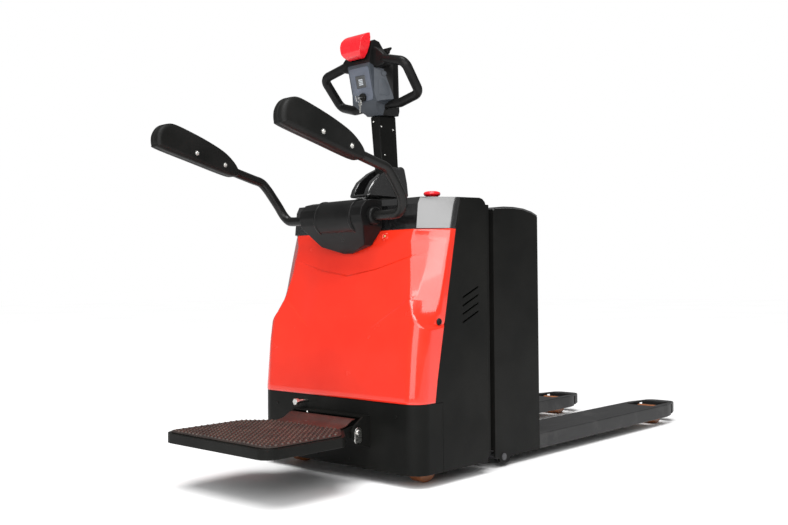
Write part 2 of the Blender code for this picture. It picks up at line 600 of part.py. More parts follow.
# ------------------------------------------------------------------ lifting frame: battery box and forks
arch = [(BOX_X0, 0.8700), (0.4400, 0.8770), (0.4900, 0.8825), (0.5500, 0.8845), (0.6100, 0.8820), (0.6600, 0.8740), (BOX_X1, 0.8630)]
box_line = ([(BOX_X0, 0.0400), (0.4520, 0.0290)] + [(0.4535, 0.0180), (0.4620, 0.0120), (0.4900, 0.0120), (0.5060, 0.0180), (0.5210, 0.0320)]
            + [(BOX_X1, 0.0320)] + arch[::-1])
shell = prism("battery_box", box_line, "XZ", -BOX_HW, BOX_HW, "black", "lift_axis")
inside = [(BOX_X0 + 0.005, 0.1200), (BOX_X1 - 0.005, 0.1200), (BOX_X1 - 0.005, 0.9300), (BOX_X0 + 0.005, 0.9300)]
under = [(0.4200, 0.0000), (BOX_X1 - 0.006, 0.0000), (BOX_X1 - 0.006, 0.1120), (BOX_X0 + 0.006, 0.1120), (BOX_X0 + 0.006, 0.0600), (0.4200, 0.0600)]
cut(shell, prism("box_inside", inside, "XZ", -BOX_HW + 0.006, BOX_HW - 0.006),
    prism("box_under", under, "XZ", -BOX_HW + 0.008, BOX_HW - 0.008),
    rod("rocker_bore", (0.475, -0.36, 0.035), (0.475, 0.36, 0.035), 0.0127, n=16))
for s in (1, -1):
    cut(shell, box("rod_window", 0.6800, 0.7100, s * 0.248 - 0.020, s * 0.248 + 0.020, 0.0200, 0.0700))
box("battery", 0.4480, 0.6780, -0.320, 0.320, 0.1205, 0.780, "cell", "lift_axis", edge=0.006)
lid_under = arch
lid = prism("battery_lid", [(x, z + 0.0005) for x, z in ((BOX_X0 + 0.0002, arch[0][1] + 0.0), *arch[1:-1], (BOX_X1 - 0.0002, arch[-1][1]))]
            + [(x, z + 0.0065) for x, z in ((BOX_X1 - 0.0002, arch[-1][1]), *arch[1:-1][::-1], (BOX_X0 + 0.0002, arch[0][1] + 0.0))],
            "XZ", -BOX_HW, BOX_HW, "plastic", "lid_axis")
rod("rocker_shaft", (0.475, -0.3435, 0.035), (0.475, 0.3435, 0.035), 0.0121, "steel", "rocker_axis", n=16)
shaft = bpy.data.objects["rocker_shaft"]
for s in (1, -1):
    join(shaft, prism("lever", [(0.463, 0.033), (0.487, 0.033), (0.482, 0.066), (0.468, 0.066)], "XZ", s * 0.248 - 0.006, s * 0.248 + 0.006))

for side, s in (("left", 1), ("right", -1)):
    yc = s * (BOX_HW - FORK_W / 2)
    a, b = yc - FORK_W / 2, yc + FORK_W / 2
    plan_line = rounded([(BOX_X1 + GAP, a), (FORK_END, a + 0.022), (FORK_END, b - 0.022), (BOX_X1 + GAP, b)],
                        [0, 0.045, 0.045, 0], 4)
    plan_line = ([(BOX_X1 + GAP, a), (1.700, a)] + arc(FORK_END - 0.045, a + 0.066, 0.045, -62, 0, 4)
                 + arc(FORK_END - 0.045, b - 0.066, 0.045, 0, 62, 4) + [(1.700, b), (BOX_X1 + GAP, b)])
    z0 = FORK_TOP - FORK_T
    fork = prism(side + "_fork", plan_line, "XY", z0, FORK_TOP, "fork", "lift_axis", edge=0.003)
    cut(fork,
        box("channel", 0.60, 1.595, a + 0.010, b - 0.010, 0.0, FORK_TOP - 0.0075),
        box("bogie_bay", 1.590, 1.790, a + 0.016, b - 0.016, 0.0, FORK_TOP - 0.0075),
        prism("roller_window", rounded([(1.622, yc - 0.062), (1.786, yc - 0.062), (1.786, yc + 0.062), (1.622, yc + 0.062)], 0.012, 2),
              "XY", 0.05, 0.12),
        prism("tip_slope", [(1.760, 0.0), (1.900, 0.0), (1.900, 0.060), (1.760, 0.0300)], "XZ", a - 0.02, b + 0.02))
    # pull rod, roller frame and load roller
    bar = prism(side + "_pull_rod", [(0.500, 0.044), (1.474, 0.0330), (1.474, 0.0460), (0.500, 0.0580)], "XZ",
                yc - 0.0100, yc + 0.0100, "steel", "lift_axis")
    bogie = rod(side + "_roller_frame", (BOGIE_X, yc - 0.0780, BOGIE_Z), (BOGIE_X, yc + 0.0780, BOGIE_Z), 0.0120, "steel",
                side + "_bogie_axis", n=16)
    arm = [(BOGIE_X - 0.015, 0.0450), (BOGIE_X + 0.02, 0.0420), (ROLLER_X - 0.02, 0.0260), (ROLLER_X + 0.014, 0.0280), (ROLLER_X + 0.018, 0.0460),
           (ROLLER_X - 0.02, 0.0560), (BOGIE_X + 0.02, 0.0765), (BOGIE_X - 0.010, 0.0700)]
    join(bogie, prism("arm_a", arm, "XZ", yc - 0.0600, yc - 0.0500), prism("arm_b", arm, "XZ", yc + 0.0500, yc + 0.0600),
         prism("pull_lever", [(BOGIE_X - 0.012, 0.0640), (BOGIE_X - 0.009, 0.0300), (BOGIE_X + 0.009, 0.0300), (BOGIE_X + 0.012, 0.0640)],
               "XZ", yc - 0.0080, yc + 0.0080),
         rod("roller_axle", (ROLLER_X, yc - 0.0600, ROLLER_R), (ROLLER_X, yc + 0.0600, ROLLER_R), 0.0080, n=12))
    turned(side + "_load_roller", [(ROLLER_R - 0.004, 0.0460), (ROLLER_R, 0.0420), (ROLLER_R, -0.0420), (ROLLER_R - 0.004, -0.0460),
                                   (0.0083, -0.0460), (0.0083, 0.0460)],
           (ROLLER_X, yc, ROLLER_R), "Y", "pu", side + "_roller_axis", steps=24)

ram = rod("lift_rod", (0.3850, 0, 0.3000), (0.3850, 0, 0.7400), 0.0180, "steel", "lift_axis", n=20)
join(ram, box("crosshead", 0.3600, BOX_X0 - GAP, -0.120, 0.120, 0.7350, 0.7600))

# ------------------------------------------------------------------ tiller
U = Vector((-math.sin(COL_LEAN), 0, math.cos(COL_LEAN)))     # up the column
V = Vector((math.cos(COL_LEAN), 0, math.sin(COL_LEAN)))      # away from the operator
P = Vector((TILT_X, 0, TILT_Z))


def along(s, t):
    q = P + U * s + V * t
    return (q.x, q.z)


col_line = [along(0.2665, -0.048), along(0.0600, -0.040), along(0.0, -0.0180), along(-0.0140, -0.0080), along(-0.0140, 0.0080),
            along(0.0, 0.0180), along(0.0600, 0.0400), along(0.2665, 0.040)]
col = prism("tiller_column", col_line, "XZ", -0.0190, 0.0190, "black", "tilt_axis", edge=0.003)
cut(col, rod("column_bore", (TILT_X, -0.08, TILT_Z), (TILT_X, 0.08, TILT_Z), 0.0083, n=16))

head_line = [along(0.2670, -0.055), (0.1850, 1.2190), (0.1700, 1.2310), (0.1572, 1.2485), (0.1270, 1.3670), (0.1310, 1.3900), (0.1420, 1.4480), (0.1550, 1.4560), (0.1780, 1.4520),
             (0.2150, 1.4120), (0.2400, 1.3820), (0.2820, 1.2450), along(0.2670, 0.040)]
head = prism("tiller_head", head_line, "XZ", -0.0920, 0.0920, "grey", "tilt_axis", edge=0.010, seg=2)
# chamfered corners, and shoulders cut away above the handles
for s in (1, -1):
    cut(head, prism("rear_chamfer", [(0.2250, s * 0.2000), (0.2250, s * 0.0935), (0.3000, s * 0.0330), (0.3400, s * 0.0330), (0.3400, s * 0.2000)],
                    "XY", 1.10, 1.55))
    cut(head, prism("chamfer", [(0.100, s * 0.050), (0.100, s * 0.200), (0.205, s * 0.200), (0.205, s * 0.0935), (0.150, s * 0.052)], "XY", 1.10, 1.55),
        prism("shoulder", [(s * 0.0510, 1.500), (s * 0.0510, 1.4020), (s * 0.2000, 1.4020), (s * 0.2000, 1.500)], "YZ", 0.05, 0.35))
n_face = Vector((-0.969, 0, -0.2469))        # outward normal of the display face
t_face = Vector((-0.2469, 0, 0.969))         # up the display face
screen_c = Vector((0.1399, 0, 1.3165))


def on_face(t, n):
    q = screen_c + t_face * t + n_face * n
    return (q.x, q.z)


cut(head, prism("display_recess", [on_face(-0.0210, -0.0055), on_face(0.0210, -0.0055), on_face(0.0210, 0.02), on_face(-0.0210, 0.02)],
                "XZ", -0.0225, 0.0225),
    prism("boss_recess", [(0.100, 1.380), (0.1360, 1.3890), (0.1500, 1.4400), (0.1120, 1.4500)], "XZ", -0.036, 0.036))
box("display", -0.0030, 0.0030, -0.0220, 0.0220, -0.0205, 0.0205, "glass", "tilt_axis")
screen = bpy.data.objects["display"]
screen.location = screen_c - n_face * 0.0018 - Vector((XC, 0, 0))
screen.rotation_euler = (0, math.radians(-14.3), 0)
key_c = Vector((0.1530, 0, 1.2650))
key_switch = rod("key_switch", key_c - n_face * 0.0005 + n_face * 0.0015, key_c + n_face * 0.0090, 0.0140, "plastic", "tilt_axis", n=16)
pivot("key_axis", *(key_c + n_face * 0.009))
PIVOT["key_axis"].parent = PIVOT["tilt_axis"]
PIVOT["key_axis"].matrix_parent_inverse = Matrix.Translation(-PIVOT["tilt_axis"].location)
key = rod("key", key_c + n_face * 0.0094, key_c + n_face * 0.0260, 0.0032, "steel", "key_axis", n=10)
bow = box("key_bow", -0.0090, 0.0090, -0.0012, 0.0012, -0.0090, 0.0090)
bow.location = (key_c + n_face * 0.0300) - Vector((XC, 0, 0))
bow.rotation_euler = (0, math.radians(-14.3), 0)
join(key, bow)

# red belly switch: a hollow cap pressed back towards the head
press = Vector((0.970, 0, -0.243))
belly = prism("belly_button", [(0.1232, 1.3890), (0.0960, 1.3960), (0.0870, 1.4180), (0.0920, 1.4480), (0.1100, 1.4680), (0.1350, 1.4790),
                               (0.1375, 1.4600), (0.1362, 1.4480)], "XZ", -0.0500, 0.0500, "signal", "tilt_axis", edge=0.005)
cut(belly, prism("belly_hollow", [(0.1330, 1.3950), (0.1040, 1.4010), (0.0980, 1.4180), (0.1010, 1.4400), (0.1160, 1.4560), (0.1400, 1.4610), (0.1440, 1.4500)],
                 "XZ", -0.0440, 0.0440))

# handle loops
for side, s in (("left", 1), ("right", -1)):
    tube(side + "_handle_loop",
         bends([(0.1776, s * 0.0736, 1.3830), (0.1600, s * 0.0969, 1.3830), (0.1490, s * 0.1930, 1.3570), (0.2290, s * 0.1870, 1.2650),
                (0.2210, s * 0.1080, 1.2390), (0.2210, s * 0.0926, 1.2390)], 0.026, 4),
         0.0145, "plastic", "tilt_axis")
    # throttle paddle on each side of the head's neck
    pivot(side + "_throttle_axis", 0.1900, s * 0.0500, 1.4180)
    e = PIVOT[side + "_throttle_axis"]
    e.parent = PIVOT["tilt_axis"]
    e.matrix_parent_inverse = Matrix.Translation(-PIVOT["tilt_axis"].location)
    y0, y1 = sorted((s * 0.0540, s * 0.0840))
    paddle = prism(side + "_throttle_paddle", [(0.1840, 1.4080), (0.1960, 1.4080), (0.1990, 1.4200), (0.2160, 1.4400), (0.2120, 1.4450), (0.1880, 1.4300)],
                   "XZ", y0, y1, "plastic", side + "_throttle_axis", edge=0.002)

# push buttons: lift and lower on the two shoulders, the horn on the back of the head
for name, c, n in (("lift_button", Vector((0.1775, -0.0728, 1.3400)), Vector((-0.6023, -0.7983, 0))),
                   ("lower_button", Vector((0.1775, 0.0728, 1.3400)), Vector((-0.6023, 0.7983, 0))),
                   ("horn_button", Vector((0.2610, 0.0, 1.3135)), Vector((0.9560, 0, 0.2931)))):
    pivot(name + "_axis", *c)
    e = PIVOT[name + "_axis"]
    e.parent = PIVOT["tilt_axis"]
    e.matrix_parent_inverse = Matrix.Translation(-PIVOT["tilt_axis"].location)
    cut(head, rod(name + "_well", c - n * 0.0035, c + n * 0.0100, 0.0096, n=16))
    rod(name, c - n * 0.0002, c + n * 0.0025, 0.0090, "plastic" if name == "horn_button" else "grey", name + "_axis", n=16)

for e in PIVOT.values():
    e.hide_render = True
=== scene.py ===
"""Looks of the rider pallet truck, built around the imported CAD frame."""
import bpy
import bmesh
import json
import math
from mathutils import Vector, Matrix, noise

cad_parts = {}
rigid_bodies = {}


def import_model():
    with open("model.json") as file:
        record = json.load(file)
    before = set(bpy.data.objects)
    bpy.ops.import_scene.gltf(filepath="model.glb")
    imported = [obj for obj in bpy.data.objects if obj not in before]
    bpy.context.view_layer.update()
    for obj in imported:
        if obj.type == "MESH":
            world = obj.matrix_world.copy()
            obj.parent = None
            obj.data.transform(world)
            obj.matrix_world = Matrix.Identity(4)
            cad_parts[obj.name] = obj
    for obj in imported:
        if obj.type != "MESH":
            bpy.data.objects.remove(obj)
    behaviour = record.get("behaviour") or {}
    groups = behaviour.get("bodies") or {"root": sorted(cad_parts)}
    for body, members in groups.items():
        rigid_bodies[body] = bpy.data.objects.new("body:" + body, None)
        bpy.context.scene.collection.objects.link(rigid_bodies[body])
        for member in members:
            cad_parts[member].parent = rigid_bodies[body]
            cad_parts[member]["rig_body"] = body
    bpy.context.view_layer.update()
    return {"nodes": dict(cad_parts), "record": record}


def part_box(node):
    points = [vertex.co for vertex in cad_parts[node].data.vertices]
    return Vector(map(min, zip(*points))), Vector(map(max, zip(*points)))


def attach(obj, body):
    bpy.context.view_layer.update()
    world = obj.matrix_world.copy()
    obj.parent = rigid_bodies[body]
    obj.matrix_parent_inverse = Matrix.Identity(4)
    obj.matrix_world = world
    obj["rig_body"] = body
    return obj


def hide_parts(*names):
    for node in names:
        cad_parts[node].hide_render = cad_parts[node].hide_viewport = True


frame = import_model()
NODES = frame["nodes"]
SLOT = {s["node"]: s["material_slot"] for s in frame["record"]["subparts"]}
XC = 0.6785            # drafting x of the origin, as in the CAD
scene = bpy.context.scene


def V(x, y, z):
    """A point given in the drafting frame of the CAD."""
    return Vector((x - XC, y, z))


# ------------------------------------------------------------------ materials
class Mat:
    """A Principled material with a small node builder round it."""

    def __init__(self, name, rough=0.4, metal=0.0):
        self.m = bpy.data.materials.new(name)
        self.m.use_nodes = True
        self.nt = self.m.node_tree
        self.p = self.nt.nodes["Principled BSDF"]
        self.p.inputs["Roughness"].default_value = rough
        self.p.inputs["Metallic"].default_value = metal
        self.co = self.nt.nodes.new("ShaderNodeTexCoord").outputs["Object"]
        self.height = None

    def link(self, a, b):
        self.nt.links.new(a, b)

    def mapping(self, scale):
        n = self.nt.nodes.new("ShaderNodeMapping")
        n.inputs["Scale"].default_value = scale
        self.link(self.co, n.inputs["Vector"])
        return n.outputs["Vector"]

    def noise(self, scale, detail=3.0, rough=0.55, vec=None):
        n = self.nt.nodes.new("ShaderNodeTexNoise")
        n.inputs["Scale"].default_value = scale
        n.inputs["Detail"].default_value = detail
        n.inputs["Roughness"].default_value = rough
        self.link(vec or self.co, n.inputs["Vector"])
        return n.outputs["Fac"]

    def cells(self, scale, vec=None):
        n = self.nt.nodes.new("ShaderNodeTexVoronoi")
        n.inputs["Scale"].default_value = scale
        self.link(vec or self.co, n.inputs["Vector"])
        return n.outputs["Distance"]

    def ramp(self, fac, stops):
        n = self.nt.nodes.new("ShaderNodeValToRGB")
        e = n.color_ramp.elements
        while len(e) < len(stops):
            e.new(0.5)
        for el, (pos, col) in zip(e, stops):
            el.position = pos
            el.color = (*col, 1) if isinstance(col, (tuple, list)) else (col, col, col, 1)
        self.link(fac, n.inputs["Fac"])
        return n.outputs["Color"]

    def mix(self, fac, a, b):
        n = self.nt.nodes.new("ShaderNodeMix")
        n.data_type = "RGBA"
        for sock, v in ((n.inputs[0], fac), (n.inputs[6], a), (n.inputs[7], b)):
            if isinstance(v, (int, float)):
                sock.default_value = v
            elif isinstance(v, (tuple, list)):
                sock.default_value = (*v, 1)
            else:
                self.link(v, sock)
        return n.outputs[2]

    def range(self, fac, lo, hi, f0=0.3, f1=0.7):
        n = self.nt.nodes.new("ShaderNodeMapRange")
        n.inputs["From Min"].default_value = f0
        n.inputs["From Max"].default_value = f1
        n.inputs["To Min"].default_value = lo
        n.inputs["To Max"].default_value = hi
        self.link(fac, n.inputs["Value"])
        return n.outputs["Result"]

    def math(self, op, a, b=None):
        n = self.nt.nodes.new("ShaderNodeMath")
        n.operation = op
        for sock, v in zip(n.inputs, (a, b)):
            if v is None:
                continue
            if isinstance(v, (int, float)):
                sock.default_value = v
            else:
                self.link(v, sock)
        return n.outputs[0]

    def base(self, out):
        self.link(out, self.p.inputs["Base Color"])
        return self

    def rough(self, out):
        self.link(out, self.p.inputs["Roughness"])
        return self

    def bump(self, fac, strength, distance):
        n = self.nt.nodes.new("ShaderNodeBump")
        n.inputs["Strength"].default_value = strength
        n.inputs["Distance"].default_value = distance
        self.link(fac, n.inputs["Height"])
        if self.height is not None:
            self.link(self.height, n.inputs["Normal"])
        self.height = n.outputs["Normal"]
        self.link(self.height, self.p.inputs["Normal"])
        return self

    def spec(self, level):
        self.p.inputs["Specular IOR Level"].default_value = level
        return self

    def coat(self, weight, rough):
        self.p.inputs["Coat Weight"].default_value = weight
        self.p.inputs["Coat Roughness"].default_value = rough
        return self


def vary(m, a, b, scale=4.0, lo=0.35, hi=0.65):
    """Slow colour variation between two tones."""
    return m.base(m.ramp(m.noise(scale, 4.0), [(lo, a), (hi, b)]))


MAT = {}

m = Mat("cover_red_gloss", 0.22)
vary(m, (0.66, 0.021, 0.008), (0.72, 0.028, 0.011), 3.0)
m.rough(m.range(m.noise(14, 5), 0.17, 0.28))
m.bump(m.noise(260, 2), 0.04, 0.0004).coat(0.8, 0.06).spec(0.3)
MAT["cover_red"] = m.m

m = Mat("powder_coat_black", 0.38)
vary(m, (0.0055, 0.0057, 0.0053), (0.0092, 0.0092, 0.0084), 5.0)
m.rough(m.range(m.noise(9, 6), 0.30, 0.47))
m.bump(m.noise(620, 3), 0.22, 0.0005).bump(m.noise(90, 2), 0.05, 0.0006).spec(0.07)
MAT["chassis_black"] = m.m

m = Mat("moulded_black", 0.33)
vary(m, (0.0055, 0.0055, 0.0055), (0.0095, 0.0095, 0.0094), 9.0)
m.rough(m.range(m.noise(16, 5), 0.26, 0.40))
m.bump(m.cells(900), 0.10, 0.0003).spec(0.12)
MAT["plastic_black"] = m.m

m = Mat("gloss_black", 0.16)
vary(m, (0.0060, 0.0060, 0.0063), (0.0098, 0.0098, 0.0100), 6.0)
m.rough(m.range(m.noise(12, 5), 0.10, 0.22))
m.bump(m.noise(240, 2), 0.04, 0.0004).coat(1.0, 0.08).spec(0.8)
MAT["gloss_black"] = m.m

m = Mat("tube_black", 0.27)
vary(m, (0.0055, 0.0055, 0.0052), (0.0090, 0.0090, 0.0086), 7.0)
m.rough(m.range(m.noise(20, 5), 0.22, 0.34))
m.bump(m.noise(480, 3), 0.10, 0.0004).spec(0.20)
MAT["tube_black"] = m.m

m = Mat("head_moulding", 0.46)
vary(m, (0.033, 0.039, 0.048), (0.042, 0.049, 0.059), 22.0).spec(0.35)
m.rough(m.range(m.noise(40, 4), 0.40, 0.54))
m.bump(m.cells(1500), 0.28, 0.0003).bump(m.noise(900, 2), 0.10, 0.0003)
MAT["head_grey"] = m.m

m = Mat("face_panel", 0.40)
vary(m, (0.080, 0.091, 0.116), (0.098, 0.110, 0.138), 30.0).spec(0.35)
m.rough(m.range(m.noise(50, 4), 0.34, 0.46))
m.bump(m.cells(1800), 0.20, 0.0002)
MAT["face_panel"] = m.m

m = Mat("signal_red_gloss", 0.24)
vary(m, (0.70, 0.008, 0.014), (0.80, 0.014, 0.022), 20.0)
m.rough(m.range(m.noise(40, 4), 0.20, 0.32))
m.bump(m.noise(1100, 2), 0.02, 0.0001).coat(0.25, 0.22)
MAT["signal_red"] = m.m

m = Mat("fork_paint", 0.42)
scratch = m.noise(1.0, 6, 0.7, m.mapping((9, 420, 40)))
worn = m.ramp(m.noise(11, 6, 0.65), [(0.52, 0.0), (0.72, 1.0)])
m.base(m.mix(m.math("MULTIPLY", worn, 0.35), m.ramp(scratch, [(0.35, (0.016, 0.016, 0.0165)), (0.70, (0.034, 0.034, 0.0345))]),
             (0.085, 0.082, 0.080)))
m.rough(m.range(scratch, 0.34, 0.52))
m.bump(m.noise(520, 3), 0.16, 0.0005).bump(scratch, 0.10, 0.0003).spec(0.2)
MAT["fork_grey"] = m.m

m = Mat("zinc_steel", 0.28, 1.0)
vary(m, (0.52, 0.52, 0.50), (0.70, 0.69, 0.66), 35.0)
m.rough(m.range(m.noise(1.0, 5, 0.6, m.mapping((60, 60, 900))), 0.20, 0.38))
m.bump(m.noise(700, 3), 0.10, 0.0003)
MAT["bright_steel"] = m.m

m = Mat("brass_screw", 0.30, 1.0)
vary(m, (0.55, 0.38, 0.15), (0.72, 0.52, 0.25), 60.0)
m.bump(m.noise(900, 3), 0.10, 0.0002)
MAT["brass"] = m.m

m = Mat("cast_grey", 0.60, 0.3)
vary(m, (0.055, 0.056, 0.060), (0.10, 0.10, 0.105), 18.0)
m.bump(m.noise(300, 5, 0.7), 0.45, 0.0010)
MAT["cast"] = m.m

m = Mat("aluminium_brushed", 0.35, 1.0)
brushed = m.noise(1.0, 5, 0.7, m.mapping((500, 12, 500)))
m.base(m.ramp(brushed, [(0.3, (0.58, 0.58, 0.60)), (0.7, (0.76, 0.76, 0.78))]))
m.rough(m.range(brushed, 0.28, 0.44)).bump(brushed, 0.12, 0.0002)
MAT["alu"] = m.m

m = Mat("polyurethane_tread", 0.42)
vary(m, (0.22, 0.070, 0.022), (0.36, 0.125, 0.042), 26.0)
m.rough(m.range(m.noise(60, 5), 0.34, 0.55))
m.bump(m.noise(180, 5, 0.65), 0.20, 0.0006)
m.p.inputs["Subsurface Weight"].default_value = 0.08
m.p.inputs["Subsurface Scale"].default_value = 0.004
MAT["polyurethane"] = m.m

m = Mat("mat_rubber", 0.62)
vary(m, (0.0150, 0.0115, 0.0104), (0.0270, 0.0190, 0.0160), 12.0).spec(0.3)
m.rough(m.range(m.noise(30, 5), 0.52, 0.72))
m.bump(m.noise(700, 4), 0.30, 0.0004)
MAT["tread_rubber"] = m.m

m = Mat("mat_ribs", 0.58)
vary(m, (0.030, 0.021, 0.017), (0.068, 0.044, 0.034), 16.0).spec(0.3)
m.rough(m.range(m.noise(30, 5), 0.46, 0.66))
m.bump(m.noise(650, 4), 0.28, 0.0004)
MAT["mat_ribs"] = m.m

m = Mat("riser_brown", 0.50)
vary(m, (0.036, 0.0125, 0.0100), (0.060, 0.0200, 0.0155), 9.0).spec(0.3)
m.rough(m.range(m.noise(30, 5), 0.42, 0.60))
m.bump(m.noise(600, 4), 0.22, 0.0004)
MAT["riser"] = m.m

m = Mat("drive_tyre", 0.70)
vary(m, (0.016, 0.015, 0.014), (0.032, 0.030, 0.028), 14.0)
m.bump(m.noise(420, 5, 0.7), 0.35, 0.0006)
MAT["tyre"] = m.m

m = Mat("pad_foam_skin", 0.46)
vary(m, (0.0055, 0.0057, 0.0053), (0.0095, 0.0095, 0.0090), 10.0)
m.rough(m.range(m.noise(24, 5), 0.38, 0.54))
m.bump(m.cells(620), 0.22, 0.0005).spec(0.12)
MAT["arm_pad"] = m.m

m = Mat("display_window", 0.08)
vary(m, (0.006, 0.007, 0.008), (0.012, 0.014, 0.016), 40.0)
m.coat(1.0, 0.03)
m.bump(m.noise(90, 1), 0.02, 0.0003)
MAT["display"] = m.m

m = Mat("lcd_segments", 0.30)
vary(m, (0.34, 0.37, 0.40), (0.44, 0.47, 0.50), 200.0)
m.bump(m.noise(1500, 2), 0.05, 0.0001)
MAT["lcd"] = m.m

m = Mat("battery_case_moulding", 0.50)
vary(m, (0.085, 0.095, 0.110), (0.115, 0.125, 0.145), 8.0)
m.bump(m.noise(400, 3), 0.20, 0.0005)
MAT["battery_case"] = m.m

# ------------------------------------------------------------------ mesh helpers
TURN = {"XY": Matrix(((1, 0, 0), (0, 1, 0), (0, 0, 1))),
        "XZ": Matrix(((1, 0, 0), (0, 0, -1), (0, 1, 0))),
        "YZ": Matrix(((0, 0, 1), (1, 0, 0), (0, 1, 0)))}
BODY = {n: o["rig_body"] for n, o in NODES.items()}


def put(ob, mat, body, stands_for=(), angle=38):
    """Gives a finished mesh its material, body and shading."""
    if ob.name not in scene.collection.objects:
        scene.collection.objects.link(ob)
    mats = mat if isinstance(mat, (list, tuple)) else [mat]
    ob.data.materials.clear()
    for k in mats:
        ob.data.materials.append(MAT[k])
    ob.data.shade_smooth()
    ob.data.set_sharp_from_angle(angle=math.radians(angle))
    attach(ob, body)
    if stands_for:
        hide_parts(*([stands_for] if isinstance(stands_for, str) else stands_for))
    return ob


def from_bm(name, bm, weld=1e-5):
    if weld:
        bmesh.ops.remove_doubles(bm, verts=bm.verts, dist=weld)
    bmesh.ops.recalc_face_normals(bm, faces=bm.faces)
    me = bpy.data.meshes.new(name)
    bm.to_mesh(me)
    bm.free()
    return bpy.data.objects.new(name, me)


def bake(ob, *mods):
    """Applies modifiers given as (type, settings), in order, and leaves a plain mesh."""
    if ob.name not in scene.collection.objects:
        scene.collection.objects.link(ob)
    for kind, settings in mods:
        md = ob.modifiers.new(kind.lower(), kind)
        for k, v in settings.items():
            setattr(md, k, v)
    bpy.context.view_layer.update()
    me = bpy.data.meshes.new_from_object(ob.evaluated_get(bpy.context.evaluated_depsgraph_get()))
    ob.modifiers.clear()
    old = ob.data
    ob.data = me
    bpy.data.meshes.remove(old)
    return ob


def even(ob):
    """Normals weighted by face area, so that flat plates shade flat."""
    return bake(ob, ("WEIGHTED_NORMAL", {"keep_sharp": True, "weight": 60}))


def edges(width, segments=3, angle=28):
    return ("BEVEL", {"width": width, "segments": segments, "limit_method": "ANGLE",
                      "angle_limit": math.radians(angle), "use_clamp_overlap": True, "harden_normals": False})


def carve(ob, *others):
    mods = [("BOOLEAN", {"operation": "DIFFERENCE", "object": o, "solver": "EXACT"}) for o in others]
    for o in others:
        if o.name not in scene.collection.objects:
            scene.collection.objects.link(o)
    bake(ob, *mods)
    for o in others:
        bpy.data.objects.remove(o, do_unlink=True)
    return ob


def refine(node, mat=None, width=0.002, seg=3, angle=28, name=None, shade=38):
    """The CAD solid with its facets merged and its edges rolled over."""
    src = NODES[node]
    bm = bmesh.new()
    bm.from_mesh(src.data)
    bmesh.ops.remove_doubles(bm, verts=bm.verts, dist=2e-5)
    bmesh.ops.dissolve_limit(bm, angle_limit=math.radians(0.6), use_dissolve_boundaries=False,
                             verts=bm.verts, edges=bm.edges, delimit=set())
    ob = from_bm(name or node + "_shell", bm, 0)
    if width:
        bake(ob, edges(width, seg, angle))
    put(ob, mat or SLOT[node], BODY[node], node, shade)
    return even(ob)


def flat(points, plane, lo, hi, name="piece", holes=()):
    """An outline in a drafting plane extruded from lo to hi."""
    cu = bpy.data.curves.new(name, "CURVE")
    cu.dimensions, cu.fill_mode, cu.extrude = "2D", "BOTH", (hi - lo) / 2
    for loop in (points, *holes):
        sp = cu.splines.new("POLY")
        sp.points.add(len(loop) - 1)
        for p, (a, b) in zip(sp.points, loop):
            p.co = (a, b, 0, 1)
        sp.use_cyclic_u = True
    ob = bpy.data.objects.new(name, cu)
    mid = (lo + hi) / 2
    scene.collection.objects.link(ob)
    bpy.context.view_layer.update()
    me = bpy.data.meshes.new_from_object(ob.evaluated_get(bpy.context.evaluated_depsgraph_get()))
    bpy.data.objects.remove(ob, do_unlink=True)
    off = {"XY": Vector((-XC, 0, mid)), "XZ": Vector((-XC, mid, 0)), "YZ": Vector((mid - XC, 0, 0))}[plane]
    me.transform(Matrix.Translation(off) @ TURN[plane].to_4x4())
    bm = bmesh.new()
    bm.from_mesh(me)
    bpy.data.meshes.remove(me)
    bmesh.ops.remove_doubles(bm, verts=bm.verts, dist=1e-5)
    bmesh.ops.dissolve_limit(bm, angle_limit=math.radians(0.5), verts=bm.verts, edges=bm.edges, delimit=set())
    return from_bm(name, bm, 0)


def arc(cx, cy, r, a0, a1, n):
    return [(cx + r * math.cos(math.radians(a0 + (a1 - a0) * i / n)),
             cy + r * math.sin(math.radians(a0 + (a1 - a0) * i / n))) for i in range(n + 1)]


def rounded(points, radius, n=6):
    out, k = [], len(points)
    radii = radius if isinstance(radius, (list, tuple)) else [radius] * k
    for i, r in enumerate(radii):
        p0, p, p1 = (Vector(points[j % k]) for j in (i - 1, i, i + 1))
        if r <= 0:
            out.append(tuple(p))
            continue
        u, v = (p0 - p).normalized(), (p1 - p).normalized()
        half = math.acos(max(-1, min(1, u.dot(v)))) / 2
        d = r / math.tan(half)
        a, b = p + u * d, p + v * d
        c = p + (u + v).normalized() * (r / math.sin(half))
        a0 = math.atan2(a.y - c.y, a.x - c.x)
        a1 = math.atan2(b.y - c.y, b.x - c.x)
        da = (a1 - a0 + math.pi) % (2 * math.pi) - math.pi
        out += [(c.x + r * math.cos(a0 + da * j / n), c.y + r * math.sin(a0 + da * j / n)) for j in range(n + 1)]
    return out


def through(points, n):
    p = [Vector(q) for q in points]
    p = [p[0] * 2 - p[1]] + p + [p[-1] * 2 - p[-2]]
    out = []
    for i in range(1, len(p) - 2):
        a, b, c, d = p[i - 1:i + 3]
        for j in range(n):
            t = j / n
            out.append(0.5 * ((2 * b) + (c - a) * t + (2 * a - 5 * b + 4 * c - d) * t * t
                              + (3 * b - a - 3 * c + d) * t ** 3))
    return out + [p[-2]]


def bends(points, r, n=12):
    p = [Vector(q) for q in points]
    out = [p[0]]
    for a, b, c in zip(p, p[1:], p[2:]):
        u, v = (a - b).normalized(), (c - b).normalized()
        half = math.acos(u.dot(v)) / 2
        d = r / math.tan(half)
        s, e = b + u * d, b + v * d
        mid = b + (u + v).normalized() * (r / math.sin(half))
        for j in range(n + 1):
            out.append(mid + (s - mid).slerp(e - mid, j / n).normalized() * r)
    return out + [p[-1]]


